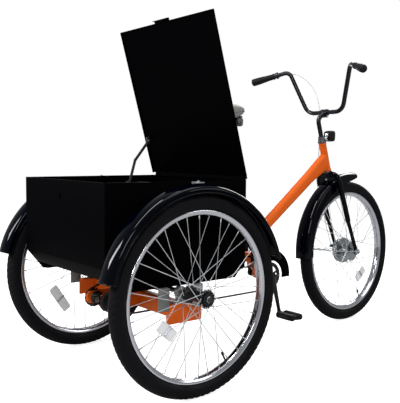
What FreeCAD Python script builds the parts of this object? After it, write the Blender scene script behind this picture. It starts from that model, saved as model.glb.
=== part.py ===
"""Rear-box cargo tricycle, in millimetres: X forward, Y left, Z up from the ground.

Everything is drawn with the rear axle at x = 0 and moved at the end, so that the origin lies on the
ground under the middle of the vehicle. The steering assembly is drawn straight ahead and then turned.
"""
import FreeCAD, Part
import math
import os
from FreeCAD import Vector

# Overall layout, most heights following from the wheel size
tyre_radius = 333.5
box_half_width = 289.0
wheel_gap = 91.0
track = 2 * (box_half_width + wheel_gap)
head_reach = 711.5
head_x = head_reach + tyre_radius
head_z = tyre_radius + 446.5
fork_reach = 169.0
wheelbase = head_x + fork_reach
rear_reach = 358.2
steer_turn = 4.4
running_gap = 0.05
seat_gap = 0.3

# Wheels
tyre_half_width = 27.0
rim_radius = tyre_radius - 49.5
rim_half_width = 17.0
rim_depth = 18.0
spokes_per_wheel = 36
spoke_side = 2.0
spoke_sweep = 60.0
spoke_rim_spread = 3.0
flange_thickness = 4.0

# Rear hubs and live axle
rear_axle_radius = 8.5
rear_hub_radius = 22.0
rear_flange_radius = 31.0
rear_flange_half_span = 47.0
rear_hub_inner_end = 55.0
rear_hub_outer_end = 50.0
axle_nut_radius = 11.0
axle_nut_length = 9.0

# Front hub, drum brake and axle
front_axle_radius = 5.0
front_hub_radius = 26.0
front_flange_radius = 47.0
front_flange_y = 36.0
drum_radius = 57.0
drum_flange_radius = 62.0
drum_inner_y = 12.0
drum_outer_y = 36.0
brake_plate_gap = 1.0
brake_plate_thickness = 4.0

# Head tube, fork and steering
head_lean = 17.0
head_up = 74.0
head_down = 60.0
head_tube_radius = 17.0
head_tube_bore = 14.0
steerer_radius = 12.7
crown_z = head_z - 80.0
crown_height = 36.0
crown_depth = 30.0
blade_y = 57.0
blade_radius = 12.0
blade_tip_radius = 8.5
blade_bend_x = wheelbase - 64.0
blade_bend_z = tyre_radius + 150.5
dropout_thickness = 6.0
headset_height = 30.0
stem_radius = 10.5
stem_bend_z = head_z + 178.0
bar_x = head_x - 3.0
bar_z = head_z + 210.0
bar_radius = 10.0
bar_flat_half = 97.0
bar_top_x = bar_x - 48.0
bar_top_y = 171.0
bar_top_z = bar_z + 199.0
bar_end_x = bar_x - 155.0
bar_end_y = 309.0
bar_end_z = bar_z + 152.0
bar_low_bend = 55.0
bar_top_bend = 28.0
stem_clamp_radius = 15.0
stem_clamp_width = 36.0
grip_length = 112.0
grip_radius = 14.5

# Brake cable
cable_diameter = 4.0

# Headlamp
lamp_x = head_x + 13.0
lamp_z = head_z + 104.0
lamp_length = 32.0
lamp_radius = 26.5
lamp_tilt = 3.0

# Mudguards
guard_thickness = 1.6
front_guard_radius = tyre_radius + 28.5
front_guard_half_width = 37.0
front_guard_rise = 13.0
front_guard_skirt = tyre_radius - 21.5
front_guard_start = 86.0
front_guard_end = 183.0
rear_guard_radius = tyre_radius + 32.5
rear_guard_half_width = 39.0
rear_guard_skirt = tyre_radius + 4.5
rear_guard_start = 16.0
rear_guard_end = 167.0
stay_rod_radius = 2.5

# Cargo box, side profile from its own corners
box_rear = -294.0
box_front = 288.0
box_top = tyre_radius + 371.5
box_skirt = tyre_radius + 22.5
box_floor = tyre_radius + 52.5
box_rear_bend = tyre_radius + 102.5
box_rear_low_x = -228.0
box_front_low_x = 240.0
box_front_bend_x = 272.0
box_front_bend_z = tyre_radius + 57.5
box_front_step_z = tyre_radius + 69.5
sheet = 2.0
rim_fold = 14.0

# Lid, hinge and folding stay
lid_open = 74.1
lid_length = 597.0
lid_fold = 8.0
hinge_out = 5.0
hinge_up = 6.0
hinge_pin_radius = 2.0
hinge_barrel_radius = 4.5
hinge_places = (-200.0, 0.0, 200.0)
hinge_knuckle = 20.0
handle_width = 92.0
handle_reach = 10.0
stay_pivot_along = 148.0
stay_pivot_drop = 14.0
stay_foot_x = 145.0
stay_foot_z = box_top - 31.0
stay_kink = 23.0
stay_ratio = 1.04
stay_wall_gap = 7.0
stay_link_width = 12.0
stay_link_thick = 2.5
stay_pin_radius = 2.5

# Rear carriage under the box
carrier_outer = box_half_width + 13.0
carrier_thickness = 6.0
carrier_low = tyre_radius - 101.5
carrier_top = tyre_radius - 37.5
carrier_flange = 34.0
carrier_rear = -68.0
carrier_front = 76.0
beam_depth = 40.0
beam_top = tyre_radius - 41.5
bearing_radius = 20.0
bearing_width = 24.0
bearing_foot = 10.0
bearing_base_half = 34.0
bracket_thickness = 3.0
bracket_low = tyre_radius - 53.5
bracket_flange = 28.0
bracket_spans = ((-104.0, -60.0), (40.0, 80.0))
backbone_half_width = 22.0
backbone_low = tyre_radius + 13.5
backbone_height = 36.0
backbone_rear = 14.0

# Bottom bracket, seat tube, main tube and saddle
bracket_x = 644.0
bracket_z = tyre_radius - 53.5
shell_radius = 21.0
shell_half = 34.0
seat_lean = 20.0
seat_tube_radius = 17.0
seat_tube_top_z = bracket_z + 520.0
seat_post_radius = 12.7
post_insert = 150.0
saddle_rail_rear = 90.0
saddle_z = seat_tube_top_z + 199.0
saddle_under_z = seat_tube_top_z + 126.0
saddle_nose_x = 532.0
saddle_length = 266.0
saddle_width = 212.0
main_tube_knee = 100.0
main_tube_drop = 82.0
main_tube_foot = 162.0
main_tube_low_height = 46.0
main_tube_height = 56.0
main_tube_width = 34.0
main_tube_flare = 100.0

# Chain drive
chain_pitch = 12.7
ring_teeth = 28
hub_teeth = 16
axle_teeth = 16
chain_y = -52.0
tooth_thickness = 2.0
tooth_rise = 2.4
tooth_fall = 4.0
chain_half_height = 4.2
chain_web = 1.4
chain_plate_inner = 2.4
chain_plate_outer = 3.6
chain_sag_x = -20.0
chain_sag_z = tyre_radius - 114.0
chain_sag_radius = 250.0
hub_x = -141.0
hub_z = tyre_radius - 58.5
second_chain_y = 52.0
hub_plate_y = 39.0
hub_plate_thick = 5.0
hub_plate_rear = -176.0
hub_plate_low = tyre_radius - 95.5
hub_plate_high = tyre_radius - 33.5
hub_shaft_radius = 8.0
hub_shell_radius = 27.0
spindle_radius = 8.5
crank_length = 168.0
crank_swing = 15.0
crank_right_y = -68.0
crank_left_y = 55.0
crank_thick = 13.0
pedal_length = 95.0
pedal_depth = 64.0
pedal_height = 26.0
pedal_axle_radius = 5.0
guard_plate_y = -60.5
guard_plate_thick = 1.5
guard_outer = 113.0
guard_inner = 66.0
guard_tail_x = 528.0
guard_tail_top = bracket_z + 116.0
guard_tail_low = bracket_z + 72.0
guard_lip = 12.0

rear_axle_x = -(wheelbase + tyre_radius - rear_reach) / 2
half_track = track / 2
front_hub_centre = Vector(wheelbase, 0, tyre_radius)
lean = math.radians(head_lean)
head_up_dir = Vector(-math.sin(lean), 0, math.cos(lean))
head_point = Vector(head_x, 0, head_z)
nodes = {}


def add(name, *solids):
    """Keep the solids of one named sub-part."""
    nodes[name] = solids[0] if len(solids) == 1 else Part.makeCompound(list(solids))


def box(x0, x1, y0, y1, z0, z1):
    """A block between six planes."""
    return Part.makeBox(x1 - x0, y1 - y0, z1 - z0, Vector(x0, y0, z0))


def rod(start, end, radius, bore=0.0):
    """A round bar or tube from one point to another."""
    along = end - start
    solid = Part.makeCylinder(radius, along.Length, start, along)
    if bore:
        solid = solid.cut(Part.makeCylinder(bore, along.Length, start, along))
    return solid


def plate(points, y0, y1):
    """A flat outline in X and Z, as thick as from y0 to y1."""
    corners = [Vector(x, y0, z) for x, z in points]
    face = Part.Face(Part.makePolygon(corners + corners[:1]))
    return face.extrude(Vector(0, y1 - y0, 0))


def turned_ring(profile, centre, start=0.0, sweep=360.0):
    """An outline of (y, radius) points turned about the Y axis through a centre."""
    corners = [Vector(r, y, 0) for y, r in profile]
    face = Part.Face(Part.makePolygon(corners + corners[:1]))
    solid = face.revolve(Vector(0, 0, 0), Vector(0, -1, 0), sweep)
    solid.rotate(Vector(0, 0, 0), Vector(0, -1, 0), start)
    solid.translate(centre)
    return solid


def fuse(first, *others):
    """Join solids into one without the seams between coplanar faces."""
    return first.multiFuse(list(others)).removeSplitter()


def bent_wire(points, radii):
    """Straight runs joined by an arc at each corner, tangent to both of its runs."""
    edges = []
    start = points[0]
    for before, corner, after, radius in zip(points, points[1:], points[2:], radii):
        back = (before - corner).normalize()
        ahead = (after - corner).normalize()
        half = back.getAngle(ahead) / 2
        reach = radius / math.tan(half)
        middle = corner + (back + ahead).normalize() * (radius / math.sin(half) - radius)
        edges.append(Part.LineSegment(start, corner + back * reach).toShape())
        edges.append(Part.Arc(corner + back * reach, middle, corner + ahead * reach).toShape())
        start = corner + ahead * reach
    edges.append(Part.LineSegment(start, points[-1]).toShape())
    return Part.Wire(edges)


def swept(wire, start, along, radius, corners=0):
    """A round bar along a wire of lines and arcs, or one with a stated number of flat sides."""
    circle = Part.makeCircle(radius, start, along)
    outline = Part.Wire(circle)
    if corners:
        points = circle.discretize(corners + 1)
        outline = Part.makePolygon(points[:-1] + points[:1])
    return wire.makePipe(Part.Face(outline))


def bent_tube(points, radii, radius):
    """A round bar bent along a chain of points."""
    return swept(bent_wire(points, radii), points[0], points[1] - points[0], radius)


def cord(points, diameter):
    """A round cord: straight runs joined by arcs as large as the shorter run beside each corner allows."""
    edges = []
    start = points[0]
    for before, corner, after in zip(points, points[1:], points[2:]):
        shorter = min((before - corner).Length, (after - corner).Length)
        back = (before - corner).normalize()
        ahead = (after - corner).normalize()
        half = back.getAngle(ahead) / 2
        reach = shorter * 0.45
        radius = reach * math.tan(half)
        middle = corner + (back + ahead).normalize() * (radius / math.sin(half) - radius)
        edges.append(Part.LineSegment(start, corner + back * reach).toShape())
        edges.append(Part.Arc(corner + back * reach, middle, corner + ahead * reach).toShape())
        print("cord bend radius", round(radius, 1), "run", round((after - corner).Length, 1))
        start = corner + ahead * reach
    edges.append(Part.LineSegment(start, points[-1]).toShape())
    return swept(Part.Wire(edges), points[0], points[1] - points[0], diameter / 2, 8)


def square_bar(start, end, side):
    """A thin square bar between two points."""
    along = end - start
    bar = Part.makeBox(side, side, along.Length, Vector(-side / 2, -side / 2, 0))
    bar.Placement = FreeCAD.Placement(start, FreeCAD.Rotation(Vector(0, 0, 1), along))
    return bar


def on_circle(centre, radius, degrees, y):
    """A point at an angle from +X towards +Z round a centre, at a stated y."""
    angle = math.radians(degrees)
    return Vector(centre.x + radius * math.cos(angle), y, centre.z + radius * math.sin(angle))


def head_at(z):
    """The point of the steering axis at a height."""
    return head_point + head_up_dir * ((z - head_z) / math.cos(lean))


def tyre(centre):
    """A balloon tyre with a flat tread."""
    w = tyre_half_width
    bead = rim_radius + seat_gap
    crown = tyre_radius
    side = (bead + crown) / 2
    outline = [(-w * 0.6, bead), (-w, side), (-w * 0.5, crown)]
    outline = outline + [(-y, r) for y, r in reversed(outline)]
    return turned_ring(outline, centre)


def rim(centre):
    """A box-section rim whose sides taper to the spoke bed."""
    w = rim_half_width
    low = rim_radius - rim_depth
    outline = [(-w, rim_radius), (-w * 0.6, low), (w * 0.6, low), (w, rim_radius)]
    return turned_ring(outline, centre)


def spokes(centre, hole_radii, flange_faces):
    """Crossed spokes from two flanges to the rim bed.

    Each flange has half of the spokes. Every second one leaves the flange's outer face and leans
    forward, and the others leave its inner face and lean back, so crossing spokes pass side by side.
    """
    bars = []
    per_flange = spokes_per_wheel // 2
    pitch = 360.0 / per_flange
    rim_end = rim_radius - rim_depth - seat_gap
    for side, hole_radius, faces in zip((1, -1), hole_radii, flange_faces):
        for number in range(per_flange):
            outside = number % 2 == 0
            angle = number * pitch + (0 if side > 0 else pitch / 2)
            swing = spoke_sweep if outside else -spoke_sweep
            y_hub = faces[0] + spoke_side * 1.15 if outside else faces[1] - spoke_side * 0.6
            inner = on_circle(centre, hole_radius, angle, centre.y + side * y_hub)
            outer = on_circle(centre, rim_end, angle + swing, centre.y + side * spoke_rim_spread)
            bars.append(square_bar(inner, outer, spoke_side))
    return bars


def rear_hub(centre, side):
    """A plain hub with two flanges; side is +1 on the left wheel, so its inner end faces -Y there."""
    half = rear_flange_half_span
    bore = rear_axle_radius + running_gap
    outline = [(-rear_hub_inner_end, bore), (-rear_hub_inner_end, 17), (-half, 17)]
    outline = outline + [(-half, rear_flange_radius), (-half + flange_thickness, rear_flange_radius)]
    outline = outline + [(-half + flange_thickness, rear_hub_radius), (half - flange_thickness, rear_hub_radius)]
    outline = outline + [(half - flange_thickness, rear_flange_radius), (half, rear_flange_radius)]
    outline = outline + [(half, 17), (rear_hub_outer_end, 15), (rear_hub_outer_end, bore)]
    return turned_ring([(side * y, r) for y, r in outline], centre)


def front_hub(centre):
    """A drum hub: the brake drum on the left carries one flange, the barrel the other."""
    bore = front_axle_radius + running_gap
    y = front_flange_y
    outline = [(-y - 6, bore), (-y - 6, 14), (-y, 18), (-y, front_flange_radius)]
    outline = outline + [(-y + flange_thickness, front_flange_radius), (-y + flange_thickness, front_hub_radius)]
    outline = outline + [(drum_inner_y - 6, front_hub_radius), (drum_inner_y, 40)]
    outline = outline + [(drum_inner_y, drum_flange_radius), (drum_inner_y + flange_thickness, drum_flange_radius)]
    outline = outline + [(drum_inner_y + flange_thickness, drum_radius), (drum_outer_y, drum_radius)]
    outline = outline + [(drum_outer_y, bore)]
    return turned_ring(outline, centre)


def build_wheels():
    """The three wheels and the live rear axle."""
    for name, side in (("left", 1), ("right", -1)):
        centre = Vector(0, side * half_track, tyre_radius)
        add("rear_tyre_" + name, tyre(centre))
        add("rear_rim_" + name, rim(centre))
        half = rear_flange_half_span
        faces = (half, half - flange_thickness)
        hole = rear_flange_radius - 3.5
        add("rear_hub_" + name, rear_hub(centre, side), *spokes(centre, (hole, hole), (faces, faces)))
    add("front_tyre", tyre(front_hub_centre))
    add("front_rim", rim(front_hub_centre))
    drum_faces = (drum_inner_y + flange_thickness, drum_inner_y)
    barrel_faces = (front_flange_y, front_flange_y - flange_thickness)
    holes = (drum_flange_radius - 3.0, front_flange_radius - 3.5)
    bars = spokes(front_hub_centre, holes, (drum_faces, barrel_faces))
    add("front_hub", front_hub(front_hub_centre), *bars)
    centre_y = half_track + rear_hub_outer_end + seat_gap
    axle_end = centre_y + axle_nut_length + 4
    axle = rod(Vector(0, -axle_end, tyre_radius), Vector(0, axle_end, tyre_radius), rear_axle_radius)
    low, high = second_chain_y - tooth_thickness / 2, second_chain_y + tooth_thickness / 2
    boss = rod(Vector(0, second_chain_y - 6, tyre_radius), Vector(0, second_chain_y + 6, tyre_radius), 18)
    axle = axle.fuse(toothed_disc(0, tyre_radius, axle_teeth, low, high)).fuse(boss)
    for side in (1, -1):
        inner = Vector(0, side * centre_y, tyre_radius)
        outer = Vector(0, side * (centre_y + axle_nut_length), tyre_radius)
        axle = axle.fuse(rod(inner, outer, axle_nut_radius))
    add("rear_axle", axle)


def mudguard(centre, crown, half_width, skirt, start, end):
    """A channel bent round the wheel: domed crown, straight skirts down to a stated radius."""
    t = guard_thickness
    w = half_width
    shoulder = crown - w * 0.42
    outside = [(-w, skirt), (-w, shoulder), (-w * 0.45, crown + t), (w * 0.45, crown + t), (w, shoulder), (w, skirt)]
    inside = [(-w + t, skirt), (-w + t, shoulder - t / 2), (-w * 0.45 + t / 2, crown)]
    inside = inside + [(-y, r) for y, r in reversed(inside)]
    return turned_ring(outside + inside[::-1], centre, start, end - start)


def build_rear_mudguards():
    """Two mudguards with a pair of stay rods each, bolted to the box side."""
    for name, side in (("left", 1), ("right", -1)):
        centre = Vector(0, side * half_track, tyre_radius)
        guard = mudguard(centre, rear_guard_radius, rear_guard_half_width, rear_guard_skirt,
                         rear_guard_start, rear_guard_end)
        inner_edge = side * (half_track - rear_guard_half_width + guard_thickness / 2)
        pieces = [guard]
        for degrees in (62.0, 118.0):
            at = on_circle(centre, rear_guard_skirt + 4, degrees, 0)
            low, high = sorted((side * box_half_width, inner_edge))
            pieces.append(box(at.x - 9, at.x + 9, low, high, at.z - 2, at.z + 2))
        add("rear_mudguard_" + name, fuse(*pieces))


def build_box():
    """Five sheet panels. The side panels hang below the floor as skirts over the chain."""
    inner = box_half_width - sheet
    profile = [(box_rear, box_top), (box_rear, box_rear_bend), (box_rear_low_x, box_skirt)]
    profile = profile + [(box_front_low_x, box_skirt), (box_front_bend_x, box_front_bend_z)]
    profile = profile + [(box_front, box_front_step_z), (box_front, box_top)]
    for name, side in (("left", 1), ("right", -1)):
        y0, y1 = sorted((side * inner, side * box_half_width))
        wall = plate(profile, y0, y1)
        y0, y1 = sorted((side * (inner - rim_fold), side * inner))
        top = box(box_rear + sheet, box_front - sheet, y0, y1, box_top - sheet, box_top)
        foot = box(box_rear_low_x + 8, box_front_low_x - 4, y0, y1, box_skirt, box_skirt + sheet)
        add("box_%s_panel" % name, fuse(wall, top, foot))
    slope = math.atan2(box_rear_bend - box_skirt, box_rear_low_x - box_rear)
    shift = sheet / math.sin(slope)
    lift = sheet * math.tan((math.pi / 2 - slope) / 2)
    outer = [(box_rear, box_top), (box_rear, box_rear_bend), (box_rear_low_x, box_skirt)]
    inner_line = [(box_rear_low_x + shift, box_skirt), (box_rear + sheet, box_rear_bend + lift)]
    rear = plate(outer + inner_line + [(box_rear + sheet, box_top)], -inner, inner)
    lip = box(box_rear, box_rear + rim_fold, -inner + rim_fold, inner - rim_fold, box_top - sheet, box_top)
    add("box_rear_panel", fuse(rear, lip))
    front_wall = box(box_front - sheet, box_front, -inner, inner, box_floor, box_top)
    lip = box(box_front - rim_fold, box_front, -inner + rim_fold, inner - rim_fold, box_top - sheet, box_top)
    add("box_front_panel", fuse(front_wall, lip))
    fall = (box_rear_bend - box_floor - sheet) / math.tan(slope)
    rear_edge = box_rear + fall + shift
    floor = box(rear_edge - sheet, box_front - sheet, -inner, inner, box_floor, box_floor + sheet)
    add("box_floor", main_solid(floor.cut(rear)))


def hinge_line():
    """The lid's hinge axis, just outside and above the box's front edge."""
    return Vector(box_front + hinge_out, 0, box_top + hinge_up)


def open_lid(solid):
    """Turn a piece drawn on the closed lid to where the lid stands open."""
    solid.rotate(hinge_line(), Vector(0, 1, 0), lid_open)
    return solid


def build_lid():
    """The lid is drawn closed, over the box, and then opened about its hinge."""
    axis = hinge_line()
    half = box_half_width + seat_gap + 1.5
    front = axis.x - hinge_barrel_radius - 1.5
    rear = axis.x - lid_length
    under = box_top + 1.5
    skin = box(rear, front, -half - sheet, half + sheet, under, under + sheet)
    left = box(rear, front, half, half + sheet, under - lid_fold, under + sheet)
    right = box(rear, front, -half - sheet, -half, under - lid_fold, under + sheet)
    back = box(rear, rear + sheet, -half, half, under - lid_fold, under + sheet)
    add("lid_panel", open_lid(fuse(skin, left, right, back)))
    grip = box(rear - handle_reach, rear, -handle_width / 2, handle_width / 2, under - 8, under - 5)
    web = box(rear - handle_reach, rear - handle_reach + 3, -handle_width / 2, handle_width / 2,
              under - 16, under - 5)
    add("lid_handle", open_lid(fuse(grip, web)))
    fixed = []
    moving = []
    for middle in hinge_places:
        for offset in (-hinge_knuckle, hinge_knuckle):
            start = Vector(axis.x, middle + offset - hinge_knuckle / 2 + seat_gap, axis.z)
            end = Vector(axis.x, middle + offset + hinge_knuckle / 2 - seat_gap, axis.z)
            leaf = box(box_front, box_front + 2, start.y, end.y, box_top - 24, axis.z)
            fixed.append(rod(start, end, hinge_barrel_radius).fuse(leaf))
        start = Vector(axis.x, middle - hinge_knuckle * 1.5 + seat_gap, axis.z)
        end = Vector(axis.x, middle + hinge_knuckle * 1.5 - seat_gap, axis.z)
        pin = rod(start, end, hinge_pin_radius)
        fixed[-2:] = [fuse(fixed[-2], fixed[-1], pin)]
        start = Vector(axis.x, middle - hinge_knuckle / 2 + 2 * seat_gap, axis.z)
        end = Vector(axis.x, middle + hinge_knuckle / 2 - 2 * seat_gap, axis.z)
        leaf = box(front - 22, axis.x, start.y, end.y, under + sheet, under + sheet + 2)
        barrel = rod(start, end, hinge_barrel_radius).fuse(leaf)
        bore = rod(start, end, hinge_pin_radius + running_gap)
        moving.append(open_lid(barrel.cut(bore)))
    add("lid_hinge_fixed", *fixed)
    add("lid_hinge_moving", *moving)


def lid_pivot():
    """The stay's pivot on the open lid, in X and Z."""
    point = hinge_line() + Vector(-stay_pivot_along, 0, -stay_pivot_drop)
    turn = FreeCAD.Rotation(Vector(0, 1, 0), lid_open)
    return hinge_line() + turn.multVec(point - hinge_line())


def stay_knee():
    """The knee of the folding stay, and its two link lengths, from the kink and the length ratio."""
    foot = Vector(stay_foot_x, 0, stay_foot_z)
    span = lid_pivot() - foot
    inside = math.radians(180 - stay_kink)
    lower = span.Length / math.sqrt(stay_ratio ** 2 + 1 - 2 * stay_ratio * math.cos(inside))
    upper = stay_ratio * lower
    along = (lower ** 2 - upper ** 2 + span.Length ** 2) / (2 * span.Length)
    out = math.sqrt(lower ** 2 - along ** 2)
    unit = span.normalize()
    return foot + unit * along + Vector(-unit.z, 0, unit.x) * out


def link(start, end, y0, y1):
    """A flat link with round ends and a pivot hole at its start."""
    half = stay_link_width / 2
    along = end - start
    across = Vector(-along.z, 0, along.x).normalize() * half
    corners = [start + across, end + across, end - across, start - across]
    bar = plate([(p.x, p.z) for p in corners], y0, y1)
    ends = [rod(Vector(p.x, y0, p.z), Vector(p.x, y1, p.z), half) for p in (start, end)]
    hole = rod(Vector(start.x, y0, start.z), Vector(start.x, y1, start.z), stay_pin_radius + running_gap)
    return fuse(bar, *ends).cut(hole)


def build_stay():
    """A two-link folding stay inside the left wall, with a foot stud on the wall and a lid bracket."""
    wall = box_half_width - sheet
    foot = Vector(stay_foot_x, 0, stay_foot_z)
    knee = stay_knee()
    top = lid_pivot()
    t = stay_link_thick
    lower_y = wall - rim_fold - stay_wall_gap
    upper_y = lower_y - t - seat_gap
    rivet = rod(Vector(knee.x, lower_y, knee.z), Vector(knee.x, lower_y + 1.2, knee.z), 4)
    add("stay_lower", fuse(link(foot, knee, lower_y - t, lower_y), rivet))
    add("stay_upper", link(top, knee, upper_y - t, upper_y))
    stud = rod(Vector(foot.x, lower_y - t - 0.2, foot.z), Vector(foot.x, wall, foot.z), stay_pin_radius)
    collar = rod(Vector(foot.x, lower_y + seat_gap, foot.z), Vector(foot.x, wall, foot.z), 8)
    add("stay_foot", stud.fuse(collar))
    axis = hinge_line()
    under = box_top + 1.5
    x = axis.x - stay_pivot_along
    z = axis.z - stay_pivot_drop
    tab_y = upper_y + seat_gap + 1
    tab = box(x - 14, x + 14, tab_y, tab_y + 2, z - 8, under)
    flange = box(x - 14, x + 14, tab_y, tab_y + 7, under - 2, under)
    pin = rod(Vector(x, upper_y - t - 1.5, z), Vector(x, tab_y, z), stay_pin_radius)
    add("stay_bracket", open_lid(fuse(tab, flange, pin)))


def build_carriage():
    """The axle carriers, cross beam, bearing blocks and box brackets under the box."""
    carriers = []
    blocks = []
    brackets = []
    inner = carrier_outer - carrier_thickness
    t = bracket_thickness
    for side in (1, -1):
        y0, y1 = sorted((side * inner, side * carrier_outer))
        wall = box(carrier_rear, carrier_front, y0, y1, carrier_low, carrier_top)
        y0, y1 = sorted((side * (carrier_outer - carrier_flange), side * carrier_outer))
        carriers.append(fuse(wall, box(carrier_rear, carrier_front, y0, y1, beam_top, carrier_top)))
        y0, y1 = sorted((side * (inner - bearing_width), side * inner))
        ring = rod(Vector(0, y0, tyre_radius), Vector(0, y1, tyre_radius), bearing_radius)
        base = box(-bearing_base_half, bearing_base_half, y0, y1, carrier_top, carrier_top + bearing_foot)
        neck = box(-14, 14, y0, y1, carrier_top, tyre_radius)
        bore = rod(Vector(0, y0, tyre_radius), Vector(0, y1, tyre_radius), rear_axle_radius + running_gap)
        blocks.append(fuse(ring, base, neck).cut(bore))
        for x0, x1 in bracket_spans:
            y0, y1 = sorted((side * carrier_outer, side * (carrier_outer + t)))
            web = box(x0, x1, y0, y1, bracket_low, box_skirt)
            y0, y1 = sorted((side * (carrier_outer + t - bracket_flange), side * (carrier_outer + t)))
            brackets.append(fuse(web, box(x0, x1, y0, y1, box_skirt - t, box_skirt)))
    add("axle_carriers", *carriers)
    add("bearing_blocks", *blocks)
    add("box_brackets", *brackets)
    beam = box(0, beam_depth, -inner, inner, carrier_low, beam_top)
    shaft = rod(Vector(hub_x, -inner, hub_z), Vector(hub_x, inner, hub_z), hub_shaft_radius + running_gap)
    plates = []
    for side in (1, -1):
        y0, y1 = sorted((side * hub_plate_y, side * (hub_plate_y + hub_plate_thick)))
        plates.append(plate([(hub_plate_rear, hub_plate_low + 12), (hub_plate_rear + 12, hub_plate_low),
                             (0, carrier_low), (0, beam_top), (-60, hub_plate_high),
                             (hub_plate_rear + 12, hub_plate_high), (hub_plate_rear, hub_plate_high - 12)], y0, y1))
    add("cross_beam", fuse(beam, *plates).cut(shaft))


def build_frame():
    """Head tube, main tube, seat tube, bottom bracket shell and backbone."""
    top = head_point + head_up_dir * head_up
    low = head_point - head_up_dir * head_down
    add("head_tube", rod(low, top, head_tube_radius, head_tube_bore))
    seat_dir = Vector(-math.sin(math.radians(seat_lean)), 0, math.cos(math.radians(seat_lean)))
    bracket = Vector(bracket_x, 0, bracket_z)
    shell = rod(Vector(bracket_x, -shell_half, bracket_z), Vector(bracket_x, shell_half, bracket_z),
                shell_radius, spindle_radius + running_gap)
    shell_solid = rod(Vector(bracket_x, -shell_half, bracket_z), Vector(bracket_x, shell_half, bracket_z),
                      shell_radius)
    add("bottom_bracket", shell)
    seat_top = bracket + seat_dir * ((seat_tube_top_z - bracket_z) / seat_dir.z)
    seat_tube = rod(bracket, seat_top, seat_tube_radius, seat_post_radius + running_gap).cut(shell_solid)
    add("seat_tube", seat_tube)
    seat_solid = rod(bracket, seat_top, seat_tube_radius)
    main = main_tube(seat_dir, bracket)
    main = main.cut(rod(low - head_up_dir * 40, top + head_up_dir * 40, head_tube_radius)).cut(seat_solid)
    add("main_tube", main_solid(main))
    beam = box(backbone_rear, bracket_x, -backbone_half_width, backbone_half_width,
               backbone_low, backbone_low + backbone_height)
    riser = box(backbone_rear, beam_depth, -backbone_half_width, backbone_half_width, beam_top, backbone_low)
    gusset = plate([(bracket_x - 82, backbone_low), (bracket_x, backbone_low), (bracket_x, bracket_z + 4),
                    (bracket_x - 32, bracket_z + 6)], -8, 8)
    beam = fuse(beam, riser, gusset).cut(seat_solid).cut(shell_solid)
    add("backbone", main_solid(beam))
    post_top = bracket + seat_dir * ((saddle_under_z - bracket_z) / seat_dir.z)
    post_low = bracket + seat_dir * ((seat_tube_top_z - post_insert - bracket_z) / seat_dir.z)
    frame = saddle_frame(post_top)
    pad = saddle(post_top.x)
    add("saddle", pad)
    add("saddle_frame", frame.cut(pad))
    add("seat_post", main_solid(rod(post_low, post_top, seat_post_radius).cut(frame)))


def main_solid(shape):
    """The largest solid of a cut shape, which drops the slivers inside the tube it was cut by."""
    return max(shape.Solids, key=lambda solid: solid.Volume)


def section(centre, along, half_high, half_wide):
    """A rounded tube section across a direction, as a closed wire of sixteen short sides."""
    up = Vector(0, 1, 0).cross(along).normalize()
    if up.z < 0:
        up = up * -1
    straight = half_high - half_wide
    corners = []
    for number in range(16):
        angle = math.radians(22.5 * number + 11.25)
        rise = math.sin(angle) * half_wide + math.copysign(straight, math.sin(angle))
        corners.append(centre + up * rise + Vector(0, math.cos(angle) * half_wide, 0))
    return Part.makePolygon(corners + corners[:1])


def main_tube(seat_dir, bracket):
    """The deep rounded tube from the head tube to the seat tube, flared where it meets the head tube."""
    high = Vector(head_x - main_tube_knee, 0, head_z - main_tube_drop)
    low = bracket + seat_dir * main_tube_foot
    slope = (low - high).normalize()
    knee = high + slope * 20
    head_end = head_point + head_up_dir * 5
    wide = main_tube_width / 2
    rings = [section(head_end, head_end - knee, main_tube_flare / 2, head_tube_radius - 1),
             section(knee, head_end - low, main_tube_height / 2, wide),
             section(low, slope, main_tube_low_height / 2, wide)]
    return Part.makeLoft(rings, True, True)


def saddle(centre_x):
    """A broad saddle as one closed form: a rounded nose, a wide tail, and skirts that deepen rearwards."""
    stations = [(0.0, 0.16, 14, 34), (0.05, 0.24, 5, 48), (0.16, 0.3, 1, 56), (0.38, 0.42, 0, 66),
                (0.62, 0.78, 0, 70), (0.82, 1.0, 2, 73), (0.95, 0.94, 8, 70), (1.0, 0.76, 18, 58)]
    rings = []
    for along, width, drop, depth in stations:
        x = saddle_nose_x - saddle_length * along
        half = saddle_width * width / 2
        top = saddle_z - drop
        low = saddle_z - depth
        corners = [(0.0, top), (0.55, top - 2), (0.86, top - 10), (1.0, (top * 2 + low) / 3),
                   (0.97, low + 3), (0.8, low)]
        points = [Vector(x, half * share, z) for share, z in corners]
        points = points + [Vector(x, -p.y, p.z) for p in reversed(points[1:])]
        rings.append(Part.makePolygon(points + points[:1]))
    return Part.makeLoft(rings, True, True)


def saddle_frame(post_top):
    """The steel frame under the saddle, from its clamp on the post to the nose."""
    clamp = rod(Vector(post_top.x, -16, saddle_under_z - 16), Vector(post_top.x, 16, saddle_under_z - 16), 14)
    rails = []
    rear = post_top.x - saddle_rail_rear
    for side in (1, -1):
        y0, y1 = sorted((side * 10, side * 17))
        rails.append(box(rear, saddle_nose_x - 12, y0, y1, saddle_under_z - 12, saddle_under_z - 3))
    nose = box(saddle_nose_x - 48, saddle_nose_x - 12, -17, 17, saddle_under_z - 14, saddle_z - 58)
    tail = box(rear - 8, rear + 6, -40, 40, saddle_under_z - 12, saddle_under_z)
    return fuse(clamp, nose, tail, *rails)


def pitch_radius(teeth):
    """Pitch radius of a chain wheel."""
    return chain_pitch / (2 * math.sin(math.pi / teeth))


def toothed_disc(x, z, teeth, y0, y1):
    """A disc whose rim has one trapezoid tooth to each chain pitch."""
    root = pitch_radius(teeth) - tooth_fall
    tip = pitch_radius(teeth) + tooth_rise
    points = []
    step = 2 * math.pi / teeth
    for number in range(teeth):
        for share, radius in ((0.0, root), (0.35, tip), (0.65, tip)):
            angle = (number + share) * step
            points.append((x + radius * math.cos(angle), z + radius * math.sin(angle)))
    return plate(points, y0, y1)


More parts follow.
